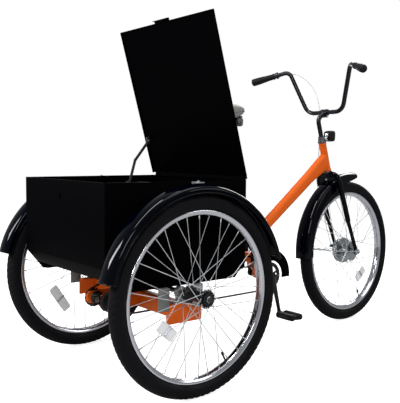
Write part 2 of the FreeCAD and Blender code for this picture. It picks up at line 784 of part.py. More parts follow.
def loop_face(circles, offset):
    """The outline of a belt laid round circles in clockwise order, as a face in X and Z."""
    points = []
    for (x0, z0, r0), (x1, z1, r1) in zip(circles, circles[1:] + circles[:1]):
        r0, r1 = r0 + offset, r1 + offset
        dx, dz = x1 - x0, z1 - z0
        length = math.hypot(dx, dz)
        base = math.atan2(dz, dx)
        tilt = math.acos((r0 - r1) / length)
        angle = base + tilt
        normal = (math.cos(angle), math.sin(angle))
        points.append(((x0 + r0 * normal[0], z0 + r0 * normal[1]), (x1 + r1 * normal[0], z1 + r1 * normal[1]), angle))
    edges = []
    for number, (x0, z0, r0) in enumerate(circles):
        arrive = points[number - 1]
        leave = points[number]
        start, end = arrive[1], leave[0]
        a0, a1 = arrive[2], leave[2]
        a1 = a0 - (a0 - a1) % (2 * math.pi)
        middle = (a0 + a1) / 2
        r = r0 + offset
        through = (x0 + r * math.cos(middle), z0 + r * math.sin(middle))
        arc = Part.Arc(Vector(start[0], 0, start[1]), Vector(through[0], 0, through[1]), Vector(end[0], 0, end[1]))
        edges.append(arc.toShape())
        edges.append(Part.LineSegment(Vector(leave[0][0], 0, leave[0][1]),
                                      Vector(leave[1][0], 0, leave[1][1])).toShape())
    return Part.Face(Part.Wire(edges))


def belt(circles, low, high, y0, y1):
    """A band round the circles between two offsets, as wide as from y0 to y1."""
    band = loop_face(circles, high).cut(loop_face(circles, low))
    solid = band.extrude(Vector(0, y1 - y0, 0))
    solid.translate(Vector(0, y0, 0))
    return solid


def build_drive():
    """Chainring, cranks, pedals, both chains, guard and the drive hub."""
    half_tooth = tooth_thickness / 2
    ring = toothed_disc(bracket_x, bracket_z, ring_teeth, chain_y - half_tooth, chain_y + half_tooth)
    window = rod(Vector(bracket_x, chain_y - 5, bracket_z), Vector(bracket_x, chain_y + 5, bracket_z), 44)
    ring = ring.cut(window)
    arms = []
    for number in range(5):
        angle = math.radians(72 * number + 20)
        direction = Vector(math.cos(angle), 0, math.sin(angle))
        side = Vector(-direction.z, 0, direction.x) * 5
        start = Vector(bracket_x, 0, bracket_z)
        corners = [start + side, start + direction * 46 + side, start + direction * 46 - side, start - side]
        arms.append(plate([(p.x, p.z) for p in corners], chain_y - half_tooth, chain_y + half_tooth))
    boss = rod(Vector(bracket_x, crank_right_y + seat_gap, bracket_z),
               Vector(bracket_x, -shell_half - 1.5, bracket_z), 15)
    spindle_hole = rod(Vector(bracket_x, crank_right_y, bracket_z), Vector(bracket_x, 0, bracket_z),
                       spindle_radius + running_gap)
    add("chainring", fuse(ring, boss, *arms).cut(spindle_hole))
    build_cranks()
    build_chain()
    build_drive_hub()


def build_drive_hub():
    """The hub behind the cross beam: its driving sprocket, and the shell with the sprocket it drives with."""
    half_tooth = tooth_thickness / 2
    plate_face = hub_plate_y + hub_plate_thick
    bore = rod(Vector(hub_x, -plate_face - 20, hub_z), Vector(hub_x, -plate_face + 20, hub_z),
               hub_shaft_radius + running_gap)
    disc = toothed_disc(hub_x, hub_z, hub_teeth, chain_y - half_tooth, chain_y + half_tooth)
    boss = rod(Vector(hub_x, chain_y - 6, hub_z), Vector(hub_x, -plate_face - 2, hub_z), 18)
    add("hub_driver", fuse(disc, boss).cut(bore))
    end = second_chain_y + 10
    shaft = rod(Vector(hub_x, -end, hub_z), Vector(hub_x, end, hub_z), hub_shaft_radius)
    shell = rod(Vector(hub_x, -hub_plate_y + 6, hub_z), Vector(hub_x, hub_plate_y - 6, hub_z), hub_shell_radius)
    cap = rod(Vector(hub_x, -end - 4, hub_z), Vector(hub_x, chain_y - 8, hub_z), 12)
    out = toothed_disc(hub_x, hub_z, hub_teeth, second_chain_y - half_tooth, second_chain_y + half_tooth)
    boss = rod(Vector(hub_x, plate_face + 2, hub_z), Vector(hub_x, second_chain_y + 6, hub_z), 18)
    add("drive_hub", fuse(shaft, shell, cap, out, boss))


def build_cranks():
    """Both crank arms on their spindle, and the two pedals."""
    swing = math.radians(crank_swing)
    forward = Vector(math.sin(swing), 0, -math.cos(swing))
    centre = Vector(bracket_x, 0, bracket_z)
    pieces = [rod(Vector(bracket_x, crank_right_y - crank_thick, bracket_z),
                  Vector(bracket_x, crank_left_y + crank_thick, bracket_z), spindle_radius)]
    for name, sign, face in (("right", -1, crank_right_y), ("left", 1, crank_left_y)):
        direction = forward * (1 if sign < 0 else -1)
        across = Vector(-direction.z, 0, direction.x)
        eye = centre + direction * crank_length
        corners = [centre + across * 14, eye + across * 10, eye - across * 10, centre - across * 14]
        y0, y1 = sorted((face, face + sign * crank_thick))
        arm = plate([(p.x, p.z) for p in corners], y0, y1)
        big = rod(Vector(centre.x, y0, centre.z), Vector(centre.x, y1, centre.z), 16)
        small = rod(Vector(eye.x, y0, eye.z), Vector(eye.x, y1, eye.z), 12)
        tip = face + sign * (crank_thick + pedal_length + 4)
        axle = rod(Vector(eye.x, face + sign * 2, eye.z), Vector(eye.x, tip, eye.z), pedal_axle_radius)
        pieces = pieces + [fuse(arm, big, small), axle]
        add("pedal_" + name, pedal(eye, face + sign * (crank_thick + 3), sign))
    add("crank_arms", fuse(*pieces))


def pedal(eye, start_y, sign):
    """A platform pedal: two tread blocks and two end plates round a barrel."""
    end_y = start_y + sign * pedal_length
    y0, y1 = sorted((start_y, end_y))
    barrel = rod(Vector(eye.x, y0, eye.z), Vector(eye.x, y1, eye.z), 10)
    half = pedal_depth / 2
    tall = pedal_height / 2
    pieces = []
    for x0, x1 in ((eye.x - half, eye.x - half + 20), (eye.x + half - 20, eye.x + half)):
        pieces.append(box(x0, x1, y0, y1, eye.z - tall, eye.z + tall))
    for at in (y0, y1 - 6):
        pieces.append(box(eye.x - half, eye.x + half, at, at + 6, eye.z - 10, eye.z + 10))
    bore = rod(Vector(eye.x, y0 - 1, eye.z), Vector(eye.x, y1 + 1, eye.z), pedal_axle_radius + running_gap)
    return fuse(barrel, *pieces).cut(bore)


def chain_loop(circles, y):
    """A chain as one channel that straddles the teeth of the circles it runs round."""
    plates = [belt(circles, -chain_half_height, chain_half_height, y + a, y + b)
              for a, b in ((-chain_plate_outer, -chain_plate_inner), (chain_plate_inner, chain_plate_outer))]
    web = belt(circles, chain_half_height - chain_web, chain_half_height,
               y - chain_plate_inner, y + chain_plate_inner)
    return fuse(web, *plates)


def build_chain():
    """The long chain, whose lower run sags under the cross beam, and the short one to the axle."""
    ring = (bracket_x, bracket_z, pitch_radius(ring_teeth))
    hub = (hub_x, hub_z, pitch_radius(hub_teeth))
    sag = (chain_sag_x, chain_sag_z + chain_sag_radius, chain_sag_radius)
    axle = (0.0, tyre_radius, pitch_radius(axle_teeth))
    add("chain", chain_loop([hub, ring, sag], chain_y))
    add("axle_chain", chain_loop([hub, axle], second_chain_y))
    build_chain_guard()


def build_chain_guard():
    """A pressed guard over the front of the chainring and the top run of the chain."""
    centre = Vector(bracket_x, 0, bracket_z)
    y0 = guard_plate_y - guard_plate_thick
    outline = []
    for degrees in range(-6, 100, 6):
        outline.append(on_circle(centre, guard_outer, degrees, 0))
    outline = outline + [Vector(guard_tail_x, 0, guard_tail_top), Vector(guard_tail_x, 0, guard_tail_low)]
    for degrees in range(100, -11, -10):
        outline.append(on_circle(centre, guard_inner, degrees, 0))
    face = plate([(p.x, p.z) for p in outline], y0, guard_plate_y)
    lip_outline = []
    for degrees in range(-6, 100, 6):
        lip_outline.append(on_circle(centre, guard_outer, degrees, 0))
    lip_outline.append(Vector(guard_tail_x, 0, guard_tail_top))
    inner = [Vector(guard_tail_x, 0, guard_tail_top - guard_plate_thick)]
    for degrees in range(96, -7, -6):
        inner.append(on_circle(centre, guard_outer - guard_plate_thick, degrees, 0))
    lip = plate([(p.x, p.z) for p in lip_outline + inner], guard_plate_y, guard_plate_y + guard_lip)
    pieces = [face, lip]
    spots = ((guard_tail_x + 14, backbone_low + backbone_height - 12, -backbone_half_width),)
    for x, z, reach in spots:
        pieces.append(rod(Vector(x, guard_plate_y, z), Vector(x, reach, z), 4))
    add("chain_guard", fuse(*pieces))


def build_fork():
    """Steerer, crown, two blades that taper below their bend, and their dropouts."""
    crown = head_at(crown_z)
    steerer_top = head_point + head_up_dir * (head_up + seat_gap)
    steerer = rod(crown, steerer_top, steerer_radius)
    wide = blade_y + 5
    half = [(16, crown_height / 2), (wide, -26), (wide, -40), (wide - 16, -40), (wide - 20, -18), (30, -6)]
    corners = [Vector(0, y, s) for y, s in half + [(-y, s) for y, s in reversed(half)]]
    yoke = Part.Face(Part.makePolygon(corners + corners[:1])).extrude(Vector(crown_depth, 0, 0))
    yoke.translate(Vector(-crown_depth / 2, 0, 0))
    yoke.rotate(Vector(0, 0, 0), Vector(0, 1, 0), -head_lean)
    yoke.translate(crown)
    pieces = [steerer, yoke]
    for side in (1, -1):
        shift = Vector(0, side * blade_y, 0)
        top = head_at(crown_z - 24) + shift
        knee = Vector(blade_bend_x, 0, blade_bend_z) + shift
        tip = front_hub_centre + Vector(-2, 0, 14) + shift
        rings = [section(top, knee - top, blade_radius, blade_radius),
                 section(knee, tip - top, blade_radius, blade_radius),
                 section(tip, tip - knee, blade_tip_radius, blade_tip_radius)]
        pieces.append(Part.makeLoft(rings, True, True))
        eye = front_hub_centre
        y0, y1 = sorted((side * (blade_y - dropout_thickness / 2), side * (blade_y + dropout_thickness / 2)))
        pieces.append(rod(Vector(eye.x, y0, eye.z), Vector(eye.x, y1, eye.z), 15))
    axle_hole = rod(front_hub_centre + Vector(0, -100, 0), front_hub_centre + Vector(0, 100, 0), front_axle_radius)
    add("fork", fuse(*pieces).cut(axle_hole))
    build_front_axle()


def build_front_axle():
    """The fixed front axle with its spacers and nuts, and the drum brake's plate and arm."""
    c = front_hub_centre
    outer = blade_y + dropout_thickness / 2
    inner = blade_y - dropout_thickness / 2
    end = outer + 16
    pieces = [rod(c + Vector(0, -end, 0), c + Vector(0, end, 0), front_axle_radius)]
    for side in (1, -1):
        pieces.append(rod(c + Vector(0, side * outer, 0), c + Vector(0, side * (outer + 9), 0), 10))
    pieces.append(rod(c + Vector(0, -inner, 0), c + Vector(0, -front_flange_y - 6 - seat_gap, 0), 9))
    add("front_axle", fuse(*pieces))
    start = drum_outer_y + brake_plate_gap
    disc = rod(c + Vector(0, start, 0), c + Vector(0, start + brake_plate_thickness, 0), drum_radius - 3)
    boss = rod(c + Vector(0, start, 0), c + Vector(0, inner, 0), 12)
    arm = plate([(c.x - 66, c.z + 20), (c.x - 66, c.z + 32), (c.x - 10, c.z + 24), (c.x - 10, c.z + 10)],
                start + 1, start + 4)
    hole = rod(c + Vector(0, -100, 0), c + Vector(0, 100, 0), front_axle_radius)
    add("drum_brake", fuse(disc, boss, arm).cut(hole))


def build_headset():
    """The lower race under the head tube, and the tall locknut above it."""
    low = head_point - head_up_dir * (head_down + seat_gap)
    crown_top = head_at(crown_z) + head_up_dir * (crown_height / 2)
    race = rod(crown_top, low, 19, steerer_radius)
    top = head_point + head_up_dir * (head_up + seat_gap)
    cone = Part.makeCone(18.5, 14, headset_height, top, head_up_dir)
    quill = rod(top, top + head_up_dir * headset_height, stem_radius)
    middle = top + head_up_dir * (headset_height * 0.5)
    strip = box(middle.x + 4, lamp_x + 14, -8, 8, middle.z - 1.5, middle.z + 1.5)
    strip = main_solid(strip.cut(cone).cut(lamp_body()))
    add("headset", race, cone.cut(quill), strip)


def build_bars():
    """Stem, handlebar, grips and the brake lever."""
    top = head_point + head_up_dir * (head_up + seat_gap)
    clamp = Vector(bar_x, 0, bar_z)
    bend = head_at(stem_bend_z)
    stem = bent_tube([top, bend, clamp], [24], stem_radius)
    half = stem_clamp_width / 2
    ring = rod(clamp + Vector(0, -half, 0), clamp + Vector(0, half, 0), stem_clamp_radius)
    hole = rod(clamp + Vector(0, -100, 0), clamp + Vector(0, 100, 0), bar_radius + running_gap)
    add("stem", fuse(stem, ring).cut(hole))
    points = [Vector(bar_end_x, bar_end_y, bar_end_z), Vector(bar_top_x, bar_top_y, bar_top_z),
              Vector(bar_x, bar_flat_half, bar_z)]
    points = points + [Vector(p.x, -p.y, p.z) for p in reversed(points)]
    radii = [bar_top_bend, bar_low_bend, bar_low_bend, bar_top_bend]
    add("handlebar", bent_tube(points, radii, bar_radius))
    for name, side in (("left", 1), ("right", -1)):
        end = Vector(bar_end_x, side * bar_end_y, bar_end_z)
        bend_point = Vector(bar_top_x, side * bar_top_y, bar_top_z)
        along = (bend_point - end).normalize()
        grip = rod(end - along * 4, end + along * grip_length, grip_radius)
        add("grip_" + name, grip.cut(rod(end, end + along * grip_length, bar_radius + running_gap)))
    build_brake_lever()


def bar_run():
    """Where the left grip ends on the bar, and the bar's direction there, towards the middle."""
    end = Vector(bar_end_x, bar_end_y, bar_end_z)
    along = (Vector(bar_top_x, bar_top_y, bar_top_z) - end).normalize()
    return end + along * grip_length, along


def build_brake_lever():
    """A clamp and body on the left of the bar, with the lever blade in front of the grip."""
    start, along = bar_run()
    across = along.cross(Vector(0, 0, 1)).normalize()
    if across.x < 0:
        across = across * -1
    clamp = rod(start + along * 3, start + along * 17, bar_radius + 6, bar_radius + running_gap)
    body_start = start + along * 10 + across * 14
    body_end = body_start + across * 22
    body = rod(body_start, body_end, 8)
    blade = rod(body_end - across * 4, body_end - across * 6 - along * 105, 5)
    add("brake_lever", fuse(clamp, body, blade))
    add("brake_cable", cord(cable_points(), cable_diameter))


def cable_points():
    """The brake cable's route: along the bar, in an arch down to the stem, then along the left blade."""
    bar = [(-58, 225, 186), (-42, 203, 191), (-32, 181, 192), (-25, 156, 190), (-15, 129, 179), (-1, 97, 151),
           (13, 74, 118), (13, 51, 70), (14, 40, 22), (20, 39, -15), (20, 42, -60), (18, 44, -106)]
    head = [(17, 47, 56), (21, 52, 8), (25, 62, -40), (32, 73, -88), (46, 76, -140)]
    hub = [(-106, 75, 254.5), (-86, 74, 202.5), (-71, 72, 154.5), (-66, 65, 110.5), (-64, 53, 71.5), (-63, 42, 33)]
    points = [Vector(bar_x + x, y, bar_z + z) for x, y, z in bar]
    points = points + [Vector(head_x + x, y, head_z + z) for x, y, z in head]
    return points + [Vector(wheelbase + x, y, tyre_radius + z) for x, y, z in hub]


def lamp_body():
    """The headlamp's housing, turned about a level axis."""
    outline = [(0, 0), (0, 16), (6, 22), (16, lamp_radius - 1.5), (lamp_length - 8, lamp_radius)]
    outline = outline + [(lamp_length, lamp_radius), (lamp_length, 0)]
    corners = [Vector(x, 0, r) for x, r in outline]
    face = Part.Face(Part.makePolygon(corners + corners[:1]))
    body = face.revolve(Vector(0, 0, 0), Vector(1, 0, 0), 360)
    body.rotate(Vector(0, 0, 0), Vector(0, 1, 0), lamp_tilt)
    body.translate(Vector(lamp_x, 0, lamp_z))
    return body


def build_front_mudguard():
    """The deep front mudguard with one stay rod each side."""
    centre = front_hub_centre + Vector(front_guard_rise, 0, front_guard_rise)
    guard = mudguard(centre, front_guard_radius, front_guard_half_width, front_guard_skirt,
                     front_guard_start, front_guard_end)
    pieces = [guard]
    outer = blade_y + dropout_thickness / 2 + 9
    for side in (1, -1):
        eye = rod(front_hub_centre + Vector(0, side * outer, 0), front_hub_centre + Vector(0, side * (outer + 3), 0),
                  13, front_axle_radius + running_gap)
        end = on_circle(centre, front_guard_skirt + 8, 176.0, side * (front_guard_half_width + 1))
        rod_solid = rod(front_hub_centre + Vector(-11, side * (outer + 1.5), 6), end, stay_rod_radius)
        pieces = pieces + [eye, rod_solid]
    add("front_mudguard", fuse(*pieces))


STEERED = ("fork", "front_axle", "drum_brake", "headset", "stem", "handlebar", "grip_left", "grip_right",
           "brake_lever", "brake_cable", "headlamp", "front_mudguard", "front_tyre", "front_rim",
           "front_hub")


def main():
    """Build every sub-part, turn the steering, move the origin and write the files."""
    build_wheels()
    build_rear_mudguards()
    build_box()
    build_lid()
    build_stay()
    build_carriage()
    build_frame()
    build_drive()
    build_fork()
    build_headset()
    build_bars()
    add("headlamp", lamp_body())
    build_front_mudguard()
    os.makedirs("parts", exist_ok=True)
    for name, solid in nodes.items():
        if name in STEERED:
            solid.rotate(head_point, head_up_dir, steer_turn)
        solid.translate(Vector(rear_axle_x, 0, 0))
        solid.exportStep("parts/%s.step" % name)
        print(name, len(solid.Solids), solid.isValid(), round(solid.Volume / 1000, 1))


main()
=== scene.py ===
# %% [markdown]
# # Rear-box cargo tricycle
# A pedal tricycle with a black sheet-metal box between its rear wheels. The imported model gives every
# part its place, and the cells below give each part the surface and the finish that it has in life.
# Lengths are worked out in millimetres from the rear axle and turned into metres as a piece is made.

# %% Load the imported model
import math
import bmesh
import bpy
import numpy as np
from mathutils import Matrix, Vector


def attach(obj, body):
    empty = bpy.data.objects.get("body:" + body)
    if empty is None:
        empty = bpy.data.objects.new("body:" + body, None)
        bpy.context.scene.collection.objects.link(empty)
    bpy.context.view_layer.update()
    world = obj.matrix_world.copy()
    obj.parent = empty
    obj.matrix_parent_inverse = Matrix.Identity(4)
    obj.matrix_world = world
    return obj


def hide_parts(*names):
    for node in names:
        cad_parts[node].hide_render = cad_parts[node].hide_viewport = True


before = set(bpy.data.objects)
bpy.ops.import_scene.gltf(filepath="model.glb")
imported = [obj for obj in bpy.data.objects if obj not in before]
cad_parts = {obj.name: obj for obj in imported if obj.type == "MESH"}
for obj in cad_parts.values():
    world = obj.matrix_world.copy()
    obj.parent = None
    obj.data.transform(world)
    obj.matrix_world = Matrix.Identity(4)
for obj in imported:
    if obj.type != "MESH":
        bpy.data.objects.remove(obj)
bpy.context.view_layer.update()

# %% [markdown]
# ## Where things are
# The steering is turned a few degrees to the left, so whatever sits on it is drawn straight ahead and
# then turned about the leaning head tube. Writing that turn once keeps every later cell simple.

# %% Lengths that the cells share
X, Y, Z = np.eye(3)
TAU = 2 * math.pi
REAR_AXLE = -594.65 * X
HEAD_POINT = np.array([1045.0, 0.0, 780.0])
HEAD_LEAN = math.radians(17.0)
HEAD_UP = np.array([-math.sin(HEAD_LEAN), 0.0, math.cos(HEAD_LEAN)])
HEAD_AHEAD = np.array([math.cos(HEAD_LEAN), 0.0, math.sin(HEAD_LEAN)])
STEER_TURN = math.radians(4.4)
STEERED = ("steering", "front_wheel")
WHEEL_R, HALF_TRACK = 333.5, 380.0
FRONT_HUB = np.array([1214.0, 0.0, WHEEL_R])
BRACKET = np.array([644.0, 0.0, 280.0])
SIDES = (("left", 1), ("right", -1))


def place(points, steer=False):
    """Metres in the model's frame from millimetres off the rear axle.

    A steered point p goes to h + v cos t + (k x v) sin t + k (k.v)(1 - cos t), with v = p - h: a turn
    by t about the steering axis k through h. Then everything moves back by the axle's offset.
    """
    p = np.asarray(points, float)
    if steer:
        v = p - HEAD_POINT
        c, s = math.cos(STEER_TURN), math.sin(STEER_TURN)
        p = HEAD_POINT + v * c + np.cross(HEAD_UP, v) * s + (v @ HEAD_UP)[..., None] * HEAD_UP * (1 - c)
    return (p + REAR_AXLE) / 1000.0


# %% [markdown]
# ## The camera
# A product photographer stands a little behind and to the right, at saddle height, with a lens of about
# 58 mm. The camera matrix has the view's right, up and backward directions as its columns.


# %% Camera
def add(name, data):
    """An object in the scene that shows some data."""
    thing = bpy.data.objects.new(name, data)
    bpy.context.scene.collection.objects.link(thing)
    return thing


FOCAL, PHOTO_HIGH = 654.76, 403
YAW, PITCH, ROLL = 0.8990976, -0.0737872, 0.0085398
cam_data = bpy.data.cameras.new("camera")
cam = add("camera", cam_data)
bpy.context.scene.camera = cam
cam_data.lens = FOCAL / PHOTO_HIGH * cam_data.sensor_width
forward = np.array([math.cos(PITCH) * math.cos(YAW), math.cos(PITCH) * math.sin(YAW), math.sin(PITCH)])
right = np.array([math.sin(YAW), -math.cos(YAW), 0.0])
up = np.cross(right, forward)
cam_right = math.cos(ROLL) * right + math.sin(ROLL) * up
cam_up = -math.sin(ROLL) * right + math.cos(ROLL) * up
turn = Matrix(np.stack([cam_right, cam_up, -forward], 1).tolist()).to_4x4()
cam.matrix_world = Matrix.Translation((-1.3030 - 0.59465, -2.0243, 0.7985)) @ turn
print("lens", round(cam_data.lens, 2), "mm")

# %% [markdown]
# ## Surfaces from arrays
# Nearly every piece here is a grid of points: rows run one way over the surface, columns the other.
# numpy works out all the points at once, and the faces are just neighbours in the grid.


# %% Small sums
def around(steps):
    """Equal angles round a full turn."""
    return np.linspace(0, TAU, steps, endpoint=False)


def unit(v):
    """Directions: each vector over its own length."""
    return v / np.linalg.norm(v, axis=-1, keepdims=True)


def signed(v, power):
    """sign(v) |v|^power. Below 1 the power squares up a circle's cosine and sine."""
    return np.sign(v) * np.abs(v) ** power


def bell(x, at, wide):
    """exp(-((x - at) / wide)^2), a smooth bump."""
    return np.exp(-((x - at) / wide) ** 2)


def polar(r, a, y):
    """Points (r cos a, y, r sin a) round the Y axis."""
    r, a, y = np.broadcast_arrays(r, a, y)
    return np.stack([r * np.cos(a), y, r * np.sin(a)], -1)


# %% Grids of points
def grid(points, wrap_rows=False, wrap_cols=True):
    """Vertices and four-sided faces of a (rows, columns, 3) array.

    Face (i, j) joins (i, j), (i+1, j), (i+1, j+1) and (i, j+1); a wrapped direction returns to its start.
    """
    rows, cols = points.shape[:2]
    i = np.arange(rows if wrap_rows else rows - 1)[:, None]
    j = np.arange(cols if wrap_cols else cols - 1)[None, :]
    a, b = (i % rows) * cols, ((i + 1) % rows) * cols
    c, d = j % cols, (j + 1) % cols
    faces = np.stack([a + c, b + c, b + d, a + d], -1).reshape(-1, 4)
    return points.reshape(-1, 3), faces


def join(shapes):
    """One list of vertices and one of faces out of several, with the face numbers moved along."""
    offsets = np.cumsum([0] + [len(v) for v, f in shapes[:-1]])
    return (np.concatenate([v for v, f in shapes]),
            np.concatenate([f + o for (v, f), o in zip(shapes, offsets)]))


def capped(rings):
    """The rings with one more at each end, shrunk to the middle of the end ring."""
    ends = [rings[k:k + 1].mean(1, keepdims=True) + 0 * rings[:1] for k in (0, len(rings) - 1)]
    return grid(np.concatenate([ends[0], rings, ends[1]]))


def lathe(profile, centre, steps=96, closed=False):
    """A profile of (y, r) turned about the Y axis through a centre."""
    y, r = np.asarray(profile, float).T
    return grid(polar(r[:, None], around(steps), y[:, None]) + centre, wrap_rows=closed)


def spin(profile, start, along, steps=48):
    """A profile of (distance along, radius) turned about any axis; an end comes to a point where the
    profile's radius there is 0.
    """
    d, r = np.asarray(profile, float).T
    along = unit(np.asarray(along, float))
    side = unit(np.cross(along, [0.31, 0.87, 0.38]))
    a = around(steps)
    ring = np.cos(a)[:, None] * side + np.sin(a)[:, None] * np.cross(along, side)
    return grid(np.asarray(start) + d[:, None, None] * along + r[:, None, None] * ring)


def tube(path, radius, sides=20, guide=(0.8, 0.1, 0.59), squash=1.0):
    """A round bar along a path: ring k is path[k] + r (n cos a + m b sin a), with its ends closed.

    n is at right angles to the path and to the guide direction, b to the path and n, and m flattens it.
    """
    path = np.asarray(path, float)
    r = np.broadcast_to(np.asarray(radius, float), (len(path),))[:, None, None]
    ahead = unit(np.gradient(path, axis=0))
    n = unit(np.cross(ahead, guide))
    b = np.cross(ahead, n)
    a = around(sides)[None, :, None]
    return capped(path[:, None] + r * (np.cos(a) * n[:, None] + squash * np.sin(a) * b[:, None]))


def repeat(faces, points_each, times):
    """The faces of one shape, numbered again for each of its copies."""
    return (faces[None] + (np.arange(times) * points_each)[:, None, None]).reshape(-1, 4)


def bars(starts, ends, radius, sides=6):
    """Many straight round bars at once: the same four rings as a tube, worked out for all bars together."""
    starts, ends = np.asarray(starts, float), np.asarray(ends, float)
    ahead = unit(ends - starts)
    n = unit(np.cross(ahead, [0.31, 0.87, 0.38]))
    b = np.cross(ahead, n)
    a = around(sides)[None, None, :, None]
    ring = np.cos(a) * n[:, None, None] + np.sin(a) * b[:, None, None]
    middles = np.stack([starts, starts, ends, ends], 1)[:, :, None]
    points = middles + np.array([0.0, radius, radius, 0.0])[None, :, None, None] * ring
    return points.reshape(-1, 3), repeat(grid(points[0])[1], 4 * sides, len(starts))


def slab(outline, low, high, axis=1):
    """A flat outline in the two other axes, between two planes, its faces brought in to the middle."""
    outline = np.asarray(outline, float)
    columns = [np.stack([outline[:, k]] * 2) for k in (0, 1)]
    columns.insert(axis, np.array(sorted((low, high)), float)[:, None] + 0 * columns[0])
    return capped(np.stack(columns, -1))


# %% [markdown]
# ## Finishes
# Paint, rubber and metal share the same small facts: their tone drifts a little, their gloss is uneven,
# and their skin has a fine grain. One node group does all three from numbers that each finish sets.


# %% A node group for tone, gloss and grain
def build_skin_group():
    """Colour = base x (1 + tone x noise); roughness = rough + swing x noise; normal from a fine bump.

    Dust is a pale film that settles in patches on whatever faces up.
    """
    group = bpy.data.node_groups.new("skin", "ShaderNodeTree")
    face = group.interface
    face.new_socket("Base", in_out="INPUT", socket_type="NodeSocketColor")
    for label, value in (("Tone", 0.1), ("Tone Scale", 6.0), ("Rough", 0.4), ("Rough Swing", 0.1),
                         ("Grain Scale", 400.0), ("Grain Depth", 0.1), ("Dust", 0.0)):
        face.new_socket(label, in_out="INPUT", socket_type="NodeSocketFloat").default_value = value
    for label, kind in (("Color", "Color"), ("Roughness", "Float"), ("Normal", "Vector")):
        face.new_socket(label, in_out="OUTPUT", socket_type="NodeSocket" + kind)

    def node(kind, inputs, operation=None):
        """A node whose inputs are linked to sockets or set to numbers."""
        made = group.nodes.new(kind)
        if operation:
            made.operation = operation
        for label, value in inputs.items():
            if isinstance(value, bpy.types.NodeSocket):
                group.links.new(value, made.inputs[label])
            else:
                made.inputs[label].default_value = value
        return made

    given = group.nodes.new("NodeGroupInput").outputs
    where = node("ShaderNodeTexCoord", {}).outputs["Object"]
    cloud = node("ShaderNodeTexNoise", {"Vector": where, "Scale": given["Tone Scale"], "Detail": 5.0})
    grain = node("ShaderNodeTexNoise", {"Vector": where, "Scale": given["Grain Scale"], "Detail": 2.0})
    drift = node("ShaderNodeMath", {0: cloud.outputs["Fac"], 1: 0.5}, "SUBTRACT").outputs[0]
    gain = node("ShaderNodeMath", {0: drift, 1: given["Tone"], 2: 1.0}, "MULTIPLY_ADD").outputs[0]
    toned = node("ShaderNodeVectorMath", {0: given["Base"], "Scale": gain}, "SCALE").outputs[0]
    split = node("ShaderNodeSeparateXYZ", {0: node("ShaderNodeNewGeometry", {}).outputs["Normal"]})
    upward = node("ShaderNodeMapRange", {"From Min": 0.3, "Value": split.outputs["Z"]}).outputs[0]
    patch = node("ShaderNodeMapRange", {"From Min": 0.35, "From Max": 0.7,
                                        "Value": cloud.outputs["Fac"]}).outputs[0]
    film = node("ShaderNodeMath", {0: upward, 1: patch}, "MULTIPLY").outputs[0]
    amount = node("ShaderNodeMath", {0: film, 1: given["Dust"]}, "MULTIPLY").outputs[0]
    dusty = group.nodes.new("ShaderNodeMix")
    dusty.data_type = "RGBA"
    group.links.new(amount, dusty.inputs["Factor"])
    group.links.new(toned, dusty.inputs["A"])
    dusty.inputs["B"].default_value = (0.32, 0.30, 0.27, 1.0)
    rough = node("ShaderNodeMath", {0: drift, 1: given["Rough Swing"], 2: given["Rough"]}, "MULTIPLY_ADD")
    rough.use_clamp = True
    bump = node("ShaderNodeBump", {"Distance": 0.0004, "Strength": given["Grain Depth"],
                                   "Height": grain.outputs["Fac"]})
    node("NodeGroupOutput", {"Color": dusty.outputs["Result"], "Roughness": rough.outputs[0],
                             "Normal": bump.outputs["Normal"]})
    return group


SKIN = build_skin_group()


def srgb(colour):
    """Linear colour from the 0 to 255 numbers seen on a screen."""
    c = np.array(colour) / 255.0
    return tuple(np.where(c <= 0.04045, c / 12.92, ((c + 0.055) / 1.055) ** 2.4)) + (1.0,)


def finish(name, colour, rough, metal, spec, skin, dust=0.0, coat=(0.0, 0.05)):
    """A material: the skin group gives colour, roughness and grain, and the shader keeps the plain numbers.

    skin is (tone, tone scale, rough swing, grain scale, grain depth) and coat is (weight, roughness).
    """
    material = bpy.data.materials.new(name)
    material.use_nodes = True
    tree = material.node_tree
    shader = tree.nodes["Principled BSDF"]
    look = tree.nodes.new("ShaderNodeGroup")
    look.node_tree = SKIN
    for label, value in zip(("Metallic", "Specular IOR Level", "Coat Weight", "Coat Roughness"),
                            (metal, spec, *coat)):
        shader.inputs[label].default_value = value
    for label, value in zip(("Base", "Rough", "Tone", "Tone Scale", "Rough Swing", "Grain Scale",
                             "Grain Depth", "Dust"), (srgb(colour), rough, *skin, dust)):
        look.inputs[label].default_value = value
    for label, socket in (("Color", "Base Color"), ("Roughness", "Roughness"), ("Normal", "Normal")):
        tree.links.new(look.outputs[label], shader.inputs[socket])
    return material


# %% The finishes of this tricycle
orange = finish("orange_paint", (198, 84, 14), 0.4, 0, 0.12, (0.18, 5, 0.12, 900, 0.10))
box_black = finish("box_black_paint", (2, 2, 3), 0.45, 0, 0.005, (0.6, 3, 0.16, 1400, 0.12))
gloss_black = finish("gloss_black_enamel", (0, 1, 5), 0.05, 0, 0.08,
                     (0.4, 4, 0.05, 250, 0.03))
stay_steel = finish("dull_steel", (70, 72, 76), 0.4, 0.6, 0.5, (0.3, 30, 0.2, 900, 0.1))
bar_black = finish("bar_black_enamel", (11, 14, 20), 0.22, 0, 0.2, (0.3, 12, 0.1, 700, 0.06))
rubber = finish("tyre_rubber", (10, 9, 12), 0.65, 0, 0.06, (0.5, 14, 0.2, 600, 0.35), 0.05)
grip_rubber = finish("grip_rubber", (11, 12, 15), 0.5, 0, 0.12, (0.4, 40, 0.15, 1500, 0.3))
chrome = finish("rim_chrome", (178, 180, 186), 0.14, 1, 0.5, (0.1, 9, 0.06, 500, 0.04))
spoke_steel = finish("spoke_steel", (190, 192, 196), 0.3, 1, 0.5, (0.3, 30, 0.15, 900, 0.05))
zinc = finish("zinc_plate", (168, 170, 172), 0.32, 1, 0.5, (0.25, 22, 0.2, 800, 0.12))
